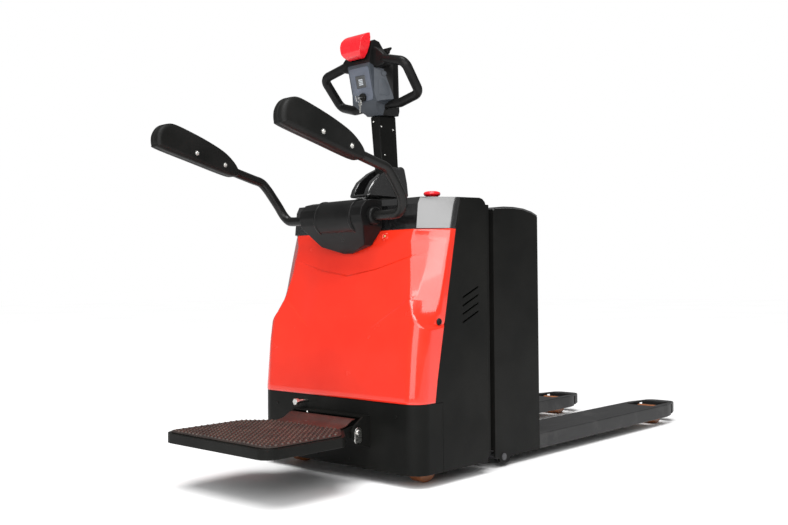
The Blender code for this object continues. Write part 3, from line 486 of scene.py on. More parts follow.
def interp(x, table):
    if x <= table[0][0]:
        return table[0][1]
    for (a, fa), (b, fb) in zip(table, table[1:]):
        if x <= b:
            return fa + (fb - fa) * (x - a) / (b - a)
    return table[-1][1]


def sstep(a, b, x):
    t = max(0.0, min(1.0, (x - a) / (b - a)))
    return t * t * (3 - 2 * t)


def sweep(name, pts, radius, n=28, close=0.003):
    """A round bar along points, its ends rolled over."""
    p = [Vector(q) for q in pts]
    rad = radius if callable(radius) else (lambda t: radius)
    total = sum((b - a).length for a, b in zip(p, p[1:]))
    d0, d1 = (p[1] - p[0]).normalized(), (p[-1] - p[-2]).normalized()
    bm = bmesh.new()
    rings, run, normal = [], 0.0, None
    for i, q in enumerate(p):
        t = (p[min(i + 1, len(p) - 1)] - p[max(i - 1, 0)]).normalized()
        if normal is None:
            normal = t.orthogonal().normalized()
        normal = (normal - t * normal.dot(t)).normalized()
        side = t.cross(normal)
        if i:
            run += (q - p[i - 1]).length
        r = rad(run / total)
        spots = [(q, r)]
        if i == 0:
            spots = [(q, r - close), (q + d0 * close * 0.3, r - close * 0.3), (q + d0 * close, r)]
        elif i == len(p) - 1:
            spots = [(q - d1 * close, r), (q - d1 * close * 0.3, r - close * 0.3), (q, r - close)]
        for c, rr in spots:
            rings.append([bm.verts.new(c + (normal * math.cos(2 * math.pi * j / n) + side * math.sin(2 * math.pi * j / n)) * rr)
                          for j in range(n)])
    for a, b in zip(rings, rings[1:]):
        for j in range(n):
            bm.faces.new((a[j], a[(j + 1) % n], b[(j + 1) % n], b[j]))
    bm.faces.new(list(reversed(rings[0])))
    bm.faces.new(rings[-1])
    return from_bm(name, bm, 0)


def lathe(name, profile, centre, axis=(0, 0, 1), n=64, bm=None):
    """(radius, height) pairs turned about an axis; a first or last radius of 0 closes the end."""
    own = bm is None
    bm = bm or bmesh.new()
    rot = Vector((0, 0, 1)).rotation_difference(Vector(axis)).to_matrix()
    c = Vector(centre)
    rings = []
    for r, h in profile:
        if r <= 1e-6:
            rings.append([bm.verts.new(c + rot @ Vector((0, 0, h)))])
        else:
            rings.append([bm.verts.new(c + rot @ Vector((r * math.cos(2 * math.pi * j / n), r * math.sin(2 * math.pi * j / n), h)))
                          for j in range(n)])
    loops = list(zip(rings, rings[1:]))
    if profile[0][0] > 1e-6:
        loops.append((rings[-1], rings[0]))
    for a, b in loops:
        for j in range(n):
            k = (j + 1) % n
            quad = [a[j % len(a)], a[k % len(a)], b[k % len(b)], b[j % len(b)]]
            face = []
            for v in quad:
                if v not in face:
                    face.append(v)
            if len(face) > 2:
                bm.faces.new(face)
    return from_bm(name, bm, 0) if own else bm


def fillets(profile, r, n=4):
    """Rounds the corners of an open (radius, height) profile."""
    out = [profile[0]]
    for a, b, c in zip(profile, profile[1:], profile[2:]):
        A, B, C = Vector(a), Vector(b), Vector(c)
        u, v = (A - B), (C - B)
        d = min(r, u.length * 0.45, v.length * 0.45)
        s, e = B + u.normalized() * d, B + v.normalized() * d
        for j in range(n + 1):
            t = j / n
            q = s * (1 - t) ** 2 + B * 2 * t * (1 - t) + e * t * t
            out.append((q.x, q.y))
    return out + [profile[-1]]


def bolts(name, spots, r, h, body, mat="bright_steel", kind="socket", washer=True, flip=0.0):
    """Screw heads standing on a surface: spots are (point, outward direction)."""
    bm = bmesh.new()
    for c, d in spots:
        d = Vector(d).normalized()
        c = Vector(c)
        if washer:
            lathe("w", fillets([(0, 0.0), (r * 1.55, 0.0), (r * 1.55, h * 0.22), (0, h * 0.22)][::-1], h * 0.1, 2),
                  c, d, 28, bm)
        z = h * 0.2
        if kind == "socket":
            lathe("b", [(0, h * 0.55), (r * 0.50, h * 0.55), (r * 0.52, h * 0.98), (r * 0.60, h), (r * 0.82, h * 0.98),
                        (r * 0.97, h * 0.80), (r, h * 0.6), (r, z), (0, z)], c, d, 28, bm)
        elif kind == "hex":
            lathe("b", [(0, h), (r * 0.86, h), (r, h * 0.86), (r, z), (0, z)], c, d, 6, bm)
        else:
            lathe("b", [(0, h), (r * 0.35, h * 0.98), (r * 0.68, h * 0.86), (r * 0.92, h * 0.58), (r, z), (0, z)], c, d, 28, bm)
    ob = from_bm(name, bm, 0)
    return put(ob, mat, body, angle=32)


# ================================================================== red front cover
FRONT = [(0.2575, -0.004), (0.42, 0.011), (0.508, 0.025), (0.56, 0.041), (0.62, 0.056),
         (0.72, 0.078), (0.80, 0.090), (0.83, 0.094)]


def smooth_front(z):
    return sum(interp(z + d, FRONT) for d in (-0.018, -0.009, 0, 0.009, 0.018)) / 5


def facet_line(z):
    """The inner and outer edge of the corner facet at one height."""
    xi = interp(z, [(0.497, 0.023), (0.529, 0.032), (0.575, 0.046), (0.668, 0.067), (0.76, 0.084), (0.81, 0.092), (0.902, 0.112)])
    yi = interp(z, [(0.497, 0.347), (0.529, 0.318), (0.575, 0.294), (0.668, 0.274), (0.76, 0.263), (0.81, 0.278), (0.902, 0.292)])
    xo, yo = 0.089 + 0.2578 * (z - 0.51), 0.357
    if z < 0.497:
        yi += (0.497 - z) * 1.2
        yo += (0.497 - z) * 1.2
        xo = 0.0857
    return (xi, yi), (xo, yo)


def smin(a, b, k):
    h = max(0.0, min(1.0, 0.5 + 0.5 * (b - a) / k))
    return b * (1 - h) + a * h - k * h * (1 - h)


EYE_X = 0.30
SIDE_Y = 0.3664


def shell_point(u, z, f, border, lift=0.0):
    """Point of the hood's outer skin: u runs from -1 (left border) to 1 (right border)."""
    end = math.atan2(SIDE_Y, EYE_X - border)
    phi = u * end
    c, s = math.cos(phi), abs(math.sin(phi))
    sign = -1 if phi > 0 else 1
    r = min((EYE_X - f) / c, SIDE_Y / s if s > 1e-6 else 9)
    x, y = EYE_X - r * c, r * s
    R = 0.055
    if x < f + R and y > SIDE_Y - R:
        cx, cy = f + R - EYE_X, SIDE_Y - R
        dx, dy = -c, s
        b = dx * cx + dy * cy
        q = cx * cx + cy * cy - R * R
        r = b + math.sqrt(max(0.0, b * b - q))
    (xi, yi), (xo, yo) = facet_line(z)
    nx, ny = -(yo - yi), (xo - xi)
    den = nx * (-c) + ny * s
    if den > 1e-6:
        rf = (nx * (xi - EYE_X) + ny * yi) / den
        if rf > 0:
            r = smin(r, rf, 0.007)
    return EYE_X - r * c + lift, sign * r * s


def cover_x_relief(y, z):
    """Shallow pressed lines of the cover, as an inward offset."""
    a = abs(y)
    z1 = 0.653 + a * 0.155 + max(0.0, a - 0.129) * 0.12
    d = 0.0062 * sstep(-0.0020, 0.0020, z - z1) * sstep(0.79, 0.68, z)
    z2 = 0.505 + (a - 0.181) * 0.655
    d += 0.0060 * sstep(-0.0020, 0.0020, z - z2) * sstep(0.120, 0.215, a) * sstep(z1 + 0.01, z1 - 0.06, z)
    d += 0.0016 * sstep(0.62, 0.76, z) * min(1.0, a / 0.26)
    return d


def border_x(z):
    return interp(z, [(0.2575, 0.0840), (0.328, 0.0950), (0.795, 0.1910), (0.893, 0.2160)]) - 0.0009


def grid_shell(name, zs, us, thickness, point):
    """A skin over a grid with its own inner wall and closed rims."""
    bm = bmesh.new()
    outer, inner = [], []
    for z in zs:
        outer.append([bm.verts.new(point(u, z)) for u in us])
    bm.verts.ensure_lookup_table()
    for r0, r1 in zip(outer, outer[1:]):
        for i in range(len(us) - 1):
            bm.faces.new((r0[i], r0[i + 1], r1[i + 1], r1[i]))
    ob = from_bm(name, bm, 0)
    return bake(ob, ("SOLIDIFY", {"thickness": thickness, "offset": -1.0, "use_even_offset": False}))


NZ, NU = 230, 240


def cover_point(u, z):
    lip = 0.0016 * (1 - sstep(0.0, 0.004, z - 0.2575)) + 0.0016 * (1 - sstep(0.0, 0.004, 0.7985 - z))
    f = smooth_front(z)
    x, y = shell_point(u, z, f, border_x(z))
    x += cover_x_relief(y, z) * max(0.0, 1 - max(0.0, abs(y) - 0.262) / 0.05)
    k = max(0.0, 1 - abs(y) / 0.3664)
    return V(x + lip * min(1.0, 0.4 + k), y * (1 - lip * 1.5), z)


zs = [0.2578 + (0.7992 - 0.2578) * i / NZ for i in range(NZ + 1)]
us = [-1 + 2 * i / NU for i in range(NU + 1)]
cover = grid_shell("front_cover_shell", zs, us, 0.0038, cover_point)
me = cover.data
vol = sum((me.vertices[p.vertices[0]].co.dot(p.normal)) * p.area for p in me.polygons)
if vol < 0:
    me.flip_normals()
put(cover, "cover_red", "chassis", "front_cover", 60)

# screws in small recessed bosses, and the plug in the side of the cover
for s in (1, -1):
    boss = lathe("cover_boss_" + ("l" if s > 0 else "r"),
                 fillets([(0, 0.0006), (0.0070, 0.0006), (0.0085, 0.0028), (0.0120, 0.0028), (0.0142, -0.0030), (0, -0.0030)], 0.0007),
                 V(0.0868, s * 0.1560, 0.7800), (-0.985, 0, 0.17), 40)
    put(boss, "cover_red", "chassis")
bolts("cover_screws", [(V(0.0868, s * 0.1560, 0.7800), (-0.985, 0, 0.17)) for s in (1, -1)], 0.0046, 0.0042, "chassis", "brass", "pan", False)
for s in (1, -1):
    plug = lathe("cover_plug_" + ("l" if s > 0 else "r"),
                 fillets([(0, -0.0008), (0.0040, -0.0008), (0.0060, 0.0004), (0.0095, 0.0004), (0.0115, -0.0040), (0, -0.0040)], 0.0006),
                 V(0.1080, s * 0.3660, 0.507), (0, s, 0), 40)
    put(plug, "plastic_black", "chassis")

# ================================================================== steelwork
half = [(0.118, 0.367)] + arc(0.055, 0.312, 0.055, 90, 180, 18)
skirt_out = half + [(x, -y) for x, y in reversed(half)]
half_in = [(0.118, 0.359)] + arc(0.055, 0.312, 0.047, 90, 180, 18)
skirt_in = half_in + [(x, -y) for x, y in reversed(half_in)]
skirt = flat(skirt_out + skirt_in[::-1], "XY", 0.041, 0.257, "skirt_plate")
bake(skirt, edges(0.0016, 3, 40))
even(put(skirt, "chassis_black", "chassis", "front_skirt", 40))
for n in ("left_side_plate", "right_side_plate"):
    refine(n, width=0.0014, seg=3, angle=35)
refine("battery_box", width=0.0030, seg=4, angle=35)
refine("battery_lid", width=0.0018, seg=3, angle=35, mat="gloss_black")
refine("bulkhead", width=0.0012)
refine("base_plate", width=0.0010, seg=2)
refine("platform_bracket", width=0.0011, seg=3)
refine("platform_hinge_pin", width=0.0009, seg=2)
refine("platform_stop_bolt", width=0.0008, seg=2)
refine("steering_bearing", width=0.0008, seg=2)
refine("lift_cylinder", width=0.0015)
refine("lift_rod", width=0.0012)
refine("hydraulic_unit", width=0.0025)
refine("drive_gearbox", width=0.0020)
refine("drive_motor", width=0.0010)
refine("steering_spindle", width=0.0015)
refine("tiller_pivot_pin", width=0.0010)
refine("rocker_shaft", mat="cast", width=0.0008, seg=2)
for s in ("left", "right"):
    refine(s + "_fork", width=0.0026, seg=4, angle=30)
    refine(s + "_castor_fork", width=0.0010, seg=2)
    refine(s + "_roller_frame", width=0.0009, seg=2)
    refine(s + "_pull_rod", width=0.0012, seg=2)

# finned controller
ctrl_lo, ctrl_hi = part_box("motor_controller")
bm = bmesh.new()
base = bmesh.ops.create_cube(bm, size=1)["verts"]
size = ctrl_hi - ctrl_lo
bmesh.ops.scale(bm, vec=(0.012, size.y, size.z), verts=base)
bmesh.ops.translate(bm, vec=Vector((ctrl_hi.x - 0.006, (ctrl_lo.y + ctrl_hi.y) / 2, (ctrl_lo.z + ctrl_hi.z) / 2)), verts=base)
for i in range(16):
    fin = bmesh.ops.create_cube(bm, size=1)["verts"]
    bmesh.ops.scale(bm, vec=(size.x - 0.011, 0.004, size.z), verts=fin)
    bmesh.ops.translate(bm, vec=Vector((ctrl_lo.x + (size.x - 0.011) / 2, ctrl_lo.y + 0.004 + (size.y - 0.008) * i / 15,
                                        (ctrl_lo.z + ctrl_hi.z) / 2)), verts=fin)
put(bake(from_bm("controller_heatsink", bm, 0), edges(0.0010, 2)), "alu", "chassis", "motor_controller")

# battery case, its edges rolled over
refine("battery", width=0.006, seg=4)

# ================================================================== top cover
refine("top_cover", mat="gloss_black", width=0.0035, seg=4, angle=20)
tray = flat(rounded([(0.285, -0.330), (0.330, -0.330), (0.330, 0.330), (0.285, 0.330)], 0.008, 5), "XY", 0.9015, 0.9035, "top_rail")
put(bake(tray, edges(0.0008, 3)), "plastic_black", "chassis")
collar = lathe("spindle_gaiter", fillets([(0.0640, 0.9000), (0.0740, 0.9000), (0.0760, 0.9045), (0.0700, 0.9065), (0.0640, 0.9065)], 0.0012),
               V(0.240, 0, 0), (0, 0, 1), 64)
put(collar, "plastic_black", "chassis")

# ================================================================== arm housing
refine("arm_housing", width=0.0060, seg=5, angle=22, shade=50)
bm = bmesh.new()
AX, AZ = 0.040, 0.845
barrel = fillets([(0.0300, -0.0980), (0.0560, -0.0980), (0.0590, -0.0950), (0.0590, -0.0880), (0.0572, -0.0865), (0.0572, 0.0645), (0.0590, 0.0660),
                  (0.0590, 0.0730), (0.0560, 0.0760), (0.0300, 0.0760)], 0.0014)
lathe("barrel", barrel, V(AX, 0, AZ), (0, 1, 0), 96, bm)
put(from_bm("arm_barrel", bm, 0), "plastic_black", "chassis", angle=50)
bm = bmesh.new()
for s in (1, -1):
    lathe("sleeve", fillets([(0.0165, s * 0.142), (0.0290, s * 0.142), (0.0290, s * 0.158), (0.0250, s * 0.163), (0.0165, s * 0.163)], 0.0016),
          V(AX, 0, AZ), (0, 1, 0), 56, bm)
put(from_bm("arm_sleeves", bm, 0), "plastic_black", "chassis")

# ================================================================== side arms
for side, s in (("left", 1), ("right", -1)):
    curve = through([(0.0400, s * 0.2350, 0.8450), (0.0395, s * 0.2600, 0.8490), (0.0330, s * 0.2800, 0.8680),
                     (0.0170, s * 0.2895, 0.8990), (-0.0050, s * 0.2920, 0.9270), (-0.0300, s * 0.2935, 0.9560),
                     (-0.0560, s * 0.2950, 0.9780), (-0.0900, s * 0.2960, 0.9868)], 8)
    line = [V(AX, s * 0.006, AZ)] + [V(*p) for p in curve] + [V(-0.200, s * 0.296, 1.0128), V(-0.330, s * 0.2960, 1.0438)]
    put(sweep(side + "_arm_bar", line, 0.0158, 32), "tube_black", side + "_arm", side + "_arm_tube", 50)

    pad_pts = [(-0.172, 0.9945), (-0.205, 0.9915), (-0.340, 1.0230), (-0.470, 1.0545), (-0.4845, 1.0665), (-0.4860, 1.0900), (-0.4800, 1.1080),
               (-0.4660, 1.1255), (-0.4440, 1.1355), (-0.4150, 1.1365), (-0.350, 1.1180), (-0.285, 1.0955), (-0.225, 1.0690),
               (-0.190, 1.0420), (-0.1705, 1.0160)]
    closed = [Vector((a, b, 0)) for a, b in pad_pts]
    ring = []
    k = len(closed)
    for i in range(k):
        a, b, c, d = (closed[(i + j) % k] for j in (-1, 0, 1, 2))
        for j in range(6):
            t = j / 6
            ring.append(0.5 * ((2 * b) + (c - a) * t + (2 * a - 5 * b + 4 * c - d) * t * t + (3 * b - a - 3 * c + d) * t ** 3))
    centre = sum(ring, Vector()) / len(ring)
    n = len(ring)
    layers = [(-0.0258 + 0.0150 * (1 - math.cos(math.radians(a))), 1 - math.sin(math.radians(a))) for a in range(0, 91, 10)]
    layers += [(-0.0060, 0.0), (-0.0016, 0.0), (-0.0010, 0.05), (0.0, 0.11)]
    layers += [(-d, k) for d, k in reversed(layers[:-1])]
    bm = bmesh.new()
    loops = []
    for dy, k in layers:
        pts = []
        for i, q in enumerate(ring):
            t = (ring[(i + 1) % n] - ring[i - 1]).normalized()
            inward = Vector((-t.y, t.x, 0))
            if inward.dot(centre - q) < 0:
                inward = -inward
            pts.append(q + inward * k * interp(-q.x, [(0.172, 0.0060), (0.215, 0.0120), (0.44, 0.0165), (0.486, 0.0150)]))
        for turn in range(int(8 * k)):
            pts = [pts[i] * 0.5 + (pts[i - 1] + pts[(i + 1) % n]) * 0.25 for i in range(n)]
        loops.append([bm.verts.new(V(w.x, s * 0.296 + dy, w.y)) for w in pts])
    for a, b in zip(loops, loops[1:]):
        for i in range(n):
            bm.faces.new((a[i], a[(i + 1) % n], b[(i + 1) % n], b[i]))
    bm.faces.new(loops[0][::-1])
    bm.faces.new(loops[-1])
    pad = from_bm(side + "_pad_skin", bm, 0)
    put(pad, "arm_pad", side + "_arm", side + "_arm_pad", 75)
    even(pad)
    bolts(side + "_pad_bolts", [(V(-0.340, s * 0.296 + d * 0.0256, 1.0520), (0, d, 0)) for d in (1, -1)]
          + [(V(-0.228, s * 0.296 + d * 0.0256, 1.0240), (0, d, 0)) for d in (1, -1)], 0.0052, 0.0046, side + "_arm", "bright_steel", "socket", True)

# ================================================================== emergency stop
stop = lathe("e_stop_mushroom", fillets([(0, 0.0370), (0.0170, 0.0366), (0.0255, 0.0340), (0.0274, 0.0300), (0.0274, 0.0270), (0.0255, 0.0235),
                                         (0.0190, 0.0200), (0.0140, 0.0160), (0.0120, 0.0052), (0, 0.0052)], 0.0020),
             V(0.190, -0.270, 0.8880), (0, 0, 1), 64)
put(stop, "signal_red", "e_stop_button", "e_stop_button", 50)
refine("e_stop_base", width=0.0008, seg=2)
well = lathe("e_stop_rim", fillets([(0.0338, 0.9010), (0.0338, 0.9034), (0.0380, 0.9034), (0.0395, 0.9010)], 0.0007), V(0.190, -0.270, 0), (0, 0, 1), 64)
put(well, "plastic_black", "chassis")

# ================================================================== platform
refine("platform_deck", width=0.0024, seg=4, angle=35)
mat_line = rounded([(-0.478, -0.240), (-0.196, -0.240), (-0.112, -0.147), (-0.112, 0.147), (-0.196, 0.240), (-0.478, 0.240)],
                   [0.037, 0.045, 0.004, 0.004, 0.045, 0.037], 10)
base = flat(mat_line, "XY", 0.1774, 0.1812, "mat_sheet")
bake(base, edges(0.0012, 3))
put(base, "tread_rubber", "platform", "platform_mat", 45)

poly = [Vector(p) for p in rounded([(-0.470, -0.232), (-0.199, -0.232), (-0.122, -0.142), (-0.122, 0.142), (-0.199, 0.232), (-0.470, 0.232)],
                                   [0.032, 0.040, 0.004, 0.004, 0.040, 0.032], 8)]


def inside(p):
    for a, b in zip(poly, poly[1:] + poly[:1]):
        if (b - a).cross(p - a) < 0:
            return False
    return True


ang = math.radians(39)
D, N = Vector((math.cos(ang), math.sin(ang))), Vector((-math.sin(ang), math.cos(ang)))
bm = bmesh.new()
PITCH, LONG, W2, TOP2 = 0.0143, 0.0290, 0.0046, 0.0021
mid = Vector((-0.295, 0.0))
for i in range(-32, 33):
    for j in range(-18, 19):
        c = mid + N * (i * PITCH) + D * ((j + (0.5 if i % 2 else 0)) * LONG)
        t0 = t1 = None
        steps = 28
        for k in range(steps + 1):
            t = -LONG / 2 + 0.0012 + (LONG - 0.0024) * k / steps
            q = c + D * t
            if inside(q + N * W2) and inside(q - N * W2):
                t0 = t if t0 is None else t0
                t1 = t
        if t0 is None or t1 - t0 < 0.006:
            continue
        lo, hi = [], []
        for ta, wa in ((t0, -W2), (t1, -W2), (t1, W2), (t0, W2)):
            q = c + D * ta + N * wa
            lo.append(bm.verts.new(V(q.x, q.y, 0.1808)))
            ta2 = ta + (0.0024 if ta == t0 else -0.0024)
            wa2 = math.copysign(TOP2, wa)
            q = c + D * ta2 + N * wa2
            hi.append(bm.verts.new(V(q.x, q.y, 0.1849)))
        bm.faces.new(lo[::-1])
        bm.faces.new(hi)
        for a in range(4):
            b = (a + 1) % 4
            bm.faces.new((lo[a], lo[b], hi[b], hi[a]))
ribs = bake(from_bm("mat_ribs", bm, 0), edges(0.0007, 2, 25))
put(ribs, "mat_ribs", "platform", angle=35)

riser_line = through([(-0.150, 0.1806, 0), (-0.128, 0.1810, 0), (-0.104, 0.1838, 0), (-0.086, 0.1885, 0), (-0.072, 0.1965, 0), (-0.060, 0.2025, 0), (-0.048, 0.2040, 0)], 8)
under = [Vector((p.x + 0.0018, p.y - 0.0032, 0)) for p in riser_line]
riser = flat([(p.x, p.y) for p in riser_line] + [(p.x, p.y) for p in reversed(under)], "XZ", -0.1465, 0.1465, "mat_riser")
put(bake(riser, edges(0.0006, 2, 50)), "riser", "platform", angle=45)
bolts("bracket_bolt", [(V(-0.0300, 0.093, 0.2032), (-1, 0, 0))], 0.0042, 0.0040, "chassis", "bright_steel", "pan", False)
bolts("skirt_bolts", [(V(0.0, -0.2772, 0.2163), (-1, 0, 0)), (V(0.0, 0.2772, 0.2163), (-1, 0, 0)),
                      (V(0.0, -0.0759, 0.0665), (-1, 0, 0)), (V(0.0, 0.0759, 0.0665), (-1, 0, 0))], 0.0050, 0.0022, "chassis", "chassis_black", "pan", False)
bolts("side_bolts", [(V(0.3380, s * 0.3668, 0.838), (0, s, 0)) for s in (1, -1)], 0.0050, 0.0002, "chassis", "bright_steel", "socket", False)

# ================================================================== wheels
for side, s in (("left", 1), ("right", -1)):
    c = V(0.120, s * 0.279, 0.055)
    tread = [(0.0340, 0.0215), (0.0500, 0.0215), (0.0550, 0.0175), (0.0550, -0.0175), (0.0500, -0.0215), (0.0340, -0.0215)]
    put(lathe(side + "_castor_tread", fillets(tread, 0.0022) , c, (0, 1, 0), 64), "polyurethane", side + "_castor_wheel",
        side + "_castor_wheel", 40)
    core = [(0.0064, 0.0222), (0.0150, 0.0222), (0.0170, 0.0140), (0.0300, 0.0140), (0.0338, 0.0215), (0.0338, -0.0215), (0.0300, -0.0140),
            (0.0170, -0.0140), (0.0150, -0.0222), (0.0064, -0.0222)]
    put(lathe(side + "_castor_core", fillets(core, 0.0012), c, (0, 1, 0), 48), "cast", side + "_castor_wheel", angle=40)
    c = V(1.700, s * 0.248, 0.040)
    put(lathe(side + "_roller_tread", fillets([(0.0190, 0.0455), (0.0362, 0.0455), (0.0400, 0.0415), (0.0400, -0.0415), (0.0362, -0.0455), (0.0190, -0.0455)],
                                              0.0016), c, (0, 1, 0), 64),
        "polyurethane", side + "_roller", side + "_load_roller", 40)
    put(lathe(side + "_roller_core", fillets([(0.0085, 0.0459), (0.0188, 0.0459), (0.0188, -0.0459), (0.0085, -0.0459)], 0.0008), c, (0, 1, 0), 40),
        "bright_steel", side + "_roller", angle=40)
c = V(0.240, 0, 0.115)
tyre = [(0.0899, 0.0372), (0.1110, 0.0372), (0.1150, 0.0325), (0.1150, 0.0185), (0.1125, 0.0170), (0.1125, 0.0140), (0.1150, 0.0125), (0.1150, -0.0125),
        (0.1125, -0.0140), (0.1125, -0.0170), (0.1150, -0.0185), (0.1150, -0.0325), (0.1110, -0.0372), (0.0899, -0.0372)]
put(lathe("drive_tyre_tread", fillets(tyre, 0.0014), c, (0, 1, 0), 96), "tyre", "drive_wheel", "drive_wheel_tyre", 35)
refine("drive_wheel_hub", width=0.0018)
bolts("wheel_nuts", [(V(0.240 + 0.055 * math.cos(a), -0.0330, 0.115 + 0.055 * math.sin(a)), (0, -1, 0)) for a in
                     [2 * math.pi * i / 5 for i in range(5)]], 0.0085, 0.0070, "drive_wheel", "bright_steel", "hex", False)

# ================================================================== tiller
hood = refine("tiller_hood", mat="gloss_black", width=0.0030, seg=4, angle=25, shade=45)
refine("tiller_column", mat="chassis_black", width=0.0020, seg=3, angle=30)
LEAN = math.radians(3.86)
UP = Vector((-math.sin(LEAN), 0, math.cos(LEAN)))
OUT = Vector((math.cos(LEAN), 0, math.sin(LEAN)))
TILT = Vector((0.2735, 0, 0.945))


def along(a, b):
    q = TILT + UP * a + OUT * b
    return (q.x, q.z)


# raised edge strips on both sides of the column, and its bolts
for y0, y1, nm in ((-0.0186, -0.0150, "r"), (0.0150, 0.0186, "l")):
    strip = flat([along(0.066, -0.0420), along(0.2630, -0.0496), along(0.2630, -0.0450), along(0.066, -0.0380)], "XZ", y0, y1, "column_rib_" + nm)
    put(bake(strip, edges(0.0008, 2)), "tube_black", "tiller")
spots = []
for x, z in ((0.2208, 1.1709), (0.2375, 1.0742), (0.2450, 1.0071), (0.2800, 1.1660)):
    for s in (1, -1):
        spots.append((V(x, s * 0.0188, z), (0, s, 0)))
bolts("column_bolts", spots, 0.0036, 0.0030, "tiller", "bright_steel", "pan", False)
q = TILT + UP * 0.2480 - OUT * 0.0472
bolts("column_front_bolts", [(V(q.x, 0.0080, q.z), -OUT)], 0.0036, 0.0030, "tiller", "bright_steel", "pan", False)

# head: grey front moulding and black rear shell
def head_solid(name, grow=0.0):
    line = [along(0.2670, -0.055), (0.1850, 1.2190), (0.1700, 1.2310), (0.1572, 1.2485), (0.1270, 1.3670), (0.1310, 1.3900), (0.1420, 1.4480),
            (0.1550, 1.4560), (0.1780, 1.4520), (0.2150, 1.4120), (0.2400, 1.3820), (0.2820, 1.2450), along(0.2670, 0.040)]
    return flat(line, "XZ", -0.0918, 0.0918, name)


head = head_solid("head_moulding")
cuts = []
for s in (1, -1):
    cuts.append(flat([(0.090, s * 0.0475), (0.090, s * 0.200), (0.205, s * 0.200), (0.205, s * 0.0935), (0.150, s * 0.0520)][::s], "XY", 1.10, 1.55, "c1"))
    cuts.append(flat([(s * 0.0510, 1.500), (s * 0.0510, 1.4020), (s * 0.2000, 1.4020), (s * 0.2000, 1.500)][::s], "YZ", 0.05, 0.35, "c2"))
    cuts.append(flat([(0.2250, s * 0.2000), (0.2250, s * 0.0935), (0.3000, s * 0.0330), (0.3400, s * 0.0330), (0.3400, s * 0.2000)][::s], "XY", 1.10, 1.55, "c3"))
    cuts.append(flat([(s * 0.0300, 1.1900), (s * 0.0300, 1.2120), (s * 0.0520, 1.2420), (s * 0.0700, 1.2500), (s * 0.0930, 1.2540), (s * 0.2000, 1.2540),
                      (s * 0.2000, 1.190)][::s], "YZ", 0.05, 0.40, "c4"))
carve(head, *cuts)
bake(head, edges(0.0090, 5, 20))
n_face, t_face, scr = Vector((-0.969, 0, -0.2469)), Vector((-0.2469, 0, 0.969)), Vector((0.1399, 0, 1.3165))


def on_face(t, n):
    q = scr + t_face * t + n_face * n
    return (q.x, q.z)


carve(head,
      flat([on_face(-0.0210, -0.0055), on_face(0.0210, -0.0055), on_face(0.0210, 0.02), on_face(-0.0210, 0.02)], "XZ", -0.0225, 0.0225, "d1"),
      flat([(0.100, 1.380), (0.1360, 1.3890), (0.1500, 1.4400), (0.1120, 1.4500)], "XZ", -0.036, 0.036, "d2"))
BTN = {"lift_button": (Vector((0.1775, -0.0728, 1.3400)), Vector((-0.6023, -0.7983, 0))),
       "lower_button": (Vector((0.1775, 0.0728, 1.3400)), Vector((-0.6023, 0.7983, 0))),
       "horn_button": (Vector((0.2610, 0.0, 1.3135)), Vector((0.9560, 0, 0.2931)))}
for nm, (bc, bn) in BTN.items():
    carve(head, lathe("well", [(0, 0.0100), (0.0096, 0.0100), (0.0096, -0.0035), (0, -0.0035)], V(*bc), bn, 40))
# parting line: everything behind it is the black rear shell
bm = bmesh.new()
bm.from_mesh(head.data)
pa, pb = Vector((0.1752, 1.3603)), Vector((0.2111, 1.2351))
pn = Vector((-(pb - pa).y, (pb - pa).x)).normalized()
if pn.x < 0:
    pn = -pn
geom = bm.verts[:] + bm.edges[:] + bm.faces[:]
bmesh.ops.bisect_plane(bm, geom=geom, plane_co=V(pa.x, 0, pa.y), plane_no=Vector((pn.x, 0, pn.y)), dist=1e-6)
geom = bm.verts[:] + bm.edges[:] + bm.faces[:]
bmesh.ops.bisect_plane(bm, geom=geom, plane_co=V(0.150, 0, 1.3660), plane_no=Vector((0.35, 0, 0.93)).normalized(), dist=1e-6)
for f in bm.faces:
    c = f.calc_center_median()
    x, z = c.x + XC, c.z
    rear = (Vector((x, z)) - pa).dot(pn) > 0
    top = (c - V(0.150, 0, 1.3660)).dot(Vector((0.35, 0, 0.93))) > 0
    f.material_index = 1 if rear or top else 0
bm.to_mesh(head.data)
bm.free()
idx = [p.material_index for p in head.data.polygons]
put(head, ["head_grey", "plastic_black"], "tiller", "tiller_head", 30)
for p, i in zip(head.data.polygons, idx):
    p.material_index = i
even(head)

# raised panels on the two chamfered corners of the head
for s in (1, -1):
    shoulder = flat([(s * 0.0420, 1.3600), (s * 0.0420, 1.4330), (s * 0.0560, 1.4310), (s * 0.0780, 1.4170), (s * 0.0980, 1.3990), (s * 0.1040, 1.3800),
                     (s * 0.0980, 1.3640), (s * 0.0700, 1.3580)][::s], "YZ", 0.1480, 0.1755, "head_shoulder_" + ("l" if s > 0 else "r"))
    put(bake(shoulder, edges(0.0060, 5, 25)), "plastic_black", "tiller", angle=50)
    even(shoulder)
    nc, tc, cc = Vector((-0.6023, s * 0.7983, 0)), Vector((0.7983, s * 0.6023, 0)), Vector((0.1775, s * 0.0728, 1.2960))
    emboss = flat(rounded([(-0.0180, -0.0300), (0.0200, -0.0300), (0.0140, 0.0060), (-0.0020, 0.0270), (-0.0180, 0.0270)], 0.0040, 5), "XY", -0.0012, 0.0011,
                  "head_emboss_" + ("l" if s > 0 else "r"))
    bake(emboss, edges(0.0008, 3))
    emboss.data.transform(Matrix.Translation((XC, 0, 0)))
    emboss.data.transform(Matrix.Translation(V(*cc)) @ Matrix((tc, Vector((0, 0, 1)), nc)).transposed().to_4x4())
    if s > 0:
        emboss.data.flip_normals()
    put(emboss, "head_grey", "tiller")

